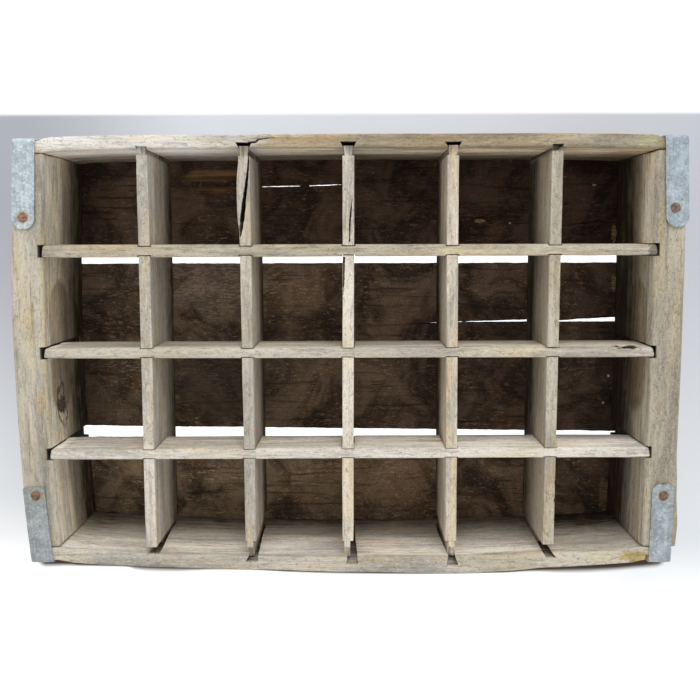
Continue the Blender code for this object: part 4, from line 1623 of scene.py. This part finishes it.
def backdrop_colour(make, x, y):
    """Grey that pales towards the front, and white in front of the crate and behind the backdrop's end."""
    backdrop = make.blend(x, 0.05, 0.30, tone(212, 216, 223), tone(193, 196, 202))
    backdrop = make.blend(x, -0.10, -0.27, backdrop, tone(172, 174, 182))
    backdrop = make.blend(y, 0.12, -0.16, backdrop, tone(222, 225, 229))
    lower = make.add(y, make.ramp(x, 0.16, 0.25, 0.0, 0.05))
    colour = make.blend(lower, -0.205, -0.12, backdrop_white, backdrop)
    return make.blend(y, backdrop_end, backdrop_end + 0.004, colour, backdrop_white)


def shadow_share(make, x, y):
    """How dark the floor is beyond the crate's near side."""
    full = make.curve(x, [(place + middle.x, level + middle.y) for place, level, _ in near_shadow])
    end = make.curve(x, [(place + middle.x, level + middle.y) for place, _, level in near_shadow])
    along = make.math("ABSOLUTE", make.less(x, middle.x))
    spread_out = make.times(make.add(y, half_width), shadow_slant)
    shadow = make.times(make.ramp(y, end, full), make.ramp(along, *shadow_sides))
    shadow = make.times(shadow, make.ramp(make.add(along, spread_out), *shadow_slant_sides))
    return make.times(shadow, make.ramp(y, -half_width + shadow_inner_reach, -half_width))


def studio_floor():
    """A pale floor that reads as the photograph's backdrop, and keeps the crate's soft shadow."""
    shape = bmesh.new()
    bmesh.ops.create_grid(shape, x_segments=1, y_segments=1, size=floor_half)
    floor = object_from(shape, "studio_floor")
    floor.location.z = floor_level
    make = Shader("studio_floor_finish")
    point = make.node("ShaderNodeTexCoord", {}).outputs["Object"]
    parts = make.node("ShaderNodeSeparateXYZ", {"Vector": point}).outputs
    x, y = parts["X"], parts["Y"]
    colour = make.mix(shadow_share(make, x, y), backdrop_colour(make, x, y), tone(*shadow_colour))
    away_x = make.less(make.math("ABSOLUTE", x), half_length - under_inset)
    away_y = make.less(make.math("ABSOLUTE", y), half_width - under_inset)
    under = make.ramp(make.math("MAXIMUM", away_x, away_y), 0.0, -0.002)
    colour = make.mix(under, colour, backdrop_white)
    matt = make.node("ShaderNodeBsdfDiffuse", {"Color": colour}).outputs[0]
    glow = make.node("ShaderNodeEmission", {"Color": colour, "Strength": glow_strength}).outputs[0]
    seen = make.node("ShaderNodeLightPath", {}).outputs
    rays = make.math("MAXIMUM", seen["Is Camera Ray"], seen["Is Glossy Ray"])
    rays = make.math("MAXIMUM", rays, seen["Is Transmission Ray"])
    own_light = make.ramp(y, -0.16, -0.20, glow_share, near_glow_share)
    share = make.times(rays, make.math("MAXIMUM", own_light, under))
    surface = make.node("ShaderNodeMixShader", {0: share, 1: matt, 2: glow}).outputs[0]
    make.tree.links.new(surface, make.tree.nodes["Material Output"].inputs["Surface"])
    floor.data.materials.append(make.material)


def key_light():
    light = bpy.data.lights.new("key", "AREA")
    light.shape = "SQUARE"
    light.size = key_size
    light.energy = key_power
    lamp = bpy.data.objects.new("key", light)
    lamp.location = key_place
    lamp.rotation_euler = (Vector(key_target) - Vector(key_place)).to_track_quat("-Z", "Y").to_euler()
    bpy.context.scene.collection.objects.link(lamp)


def studio_world():
    """Even white light from all around, and a pale backdrop where a ray meets nothing."""
    world = bpy.data.worlds.new("studio")
    world.use_nodes = True
    background = world.node_tree.nodes["Background"]
    background.inputs["Color"].default_value = (1.0, 1.0, 1.0, 1.0)
    background.inputs["Strength"].default_value = world_strength
    bpy.context.scene.world = world


def studio_camera():
    data = bpy.data.cameras.new("photo_camera")
    data.sensor_width = sensor_width
    data.lens = focal_pixels * sensor_width / frame_pixels
    data.clip_start = 0.01
    camera = bpy.data.objects.new("photo_camera", data)
    camera.location = camera_place
    camera.rotation_euler = Euler([math.radians(angle) for angle in camera_turn])
    bpy.context.scene.collection.objects.link(camera)
    bpy.context.scene.camera = camera


studio_floor()
key_light()
studio_world()
studio_camera()
bpy.context.scene.view_settings.view_transform = "Standard"
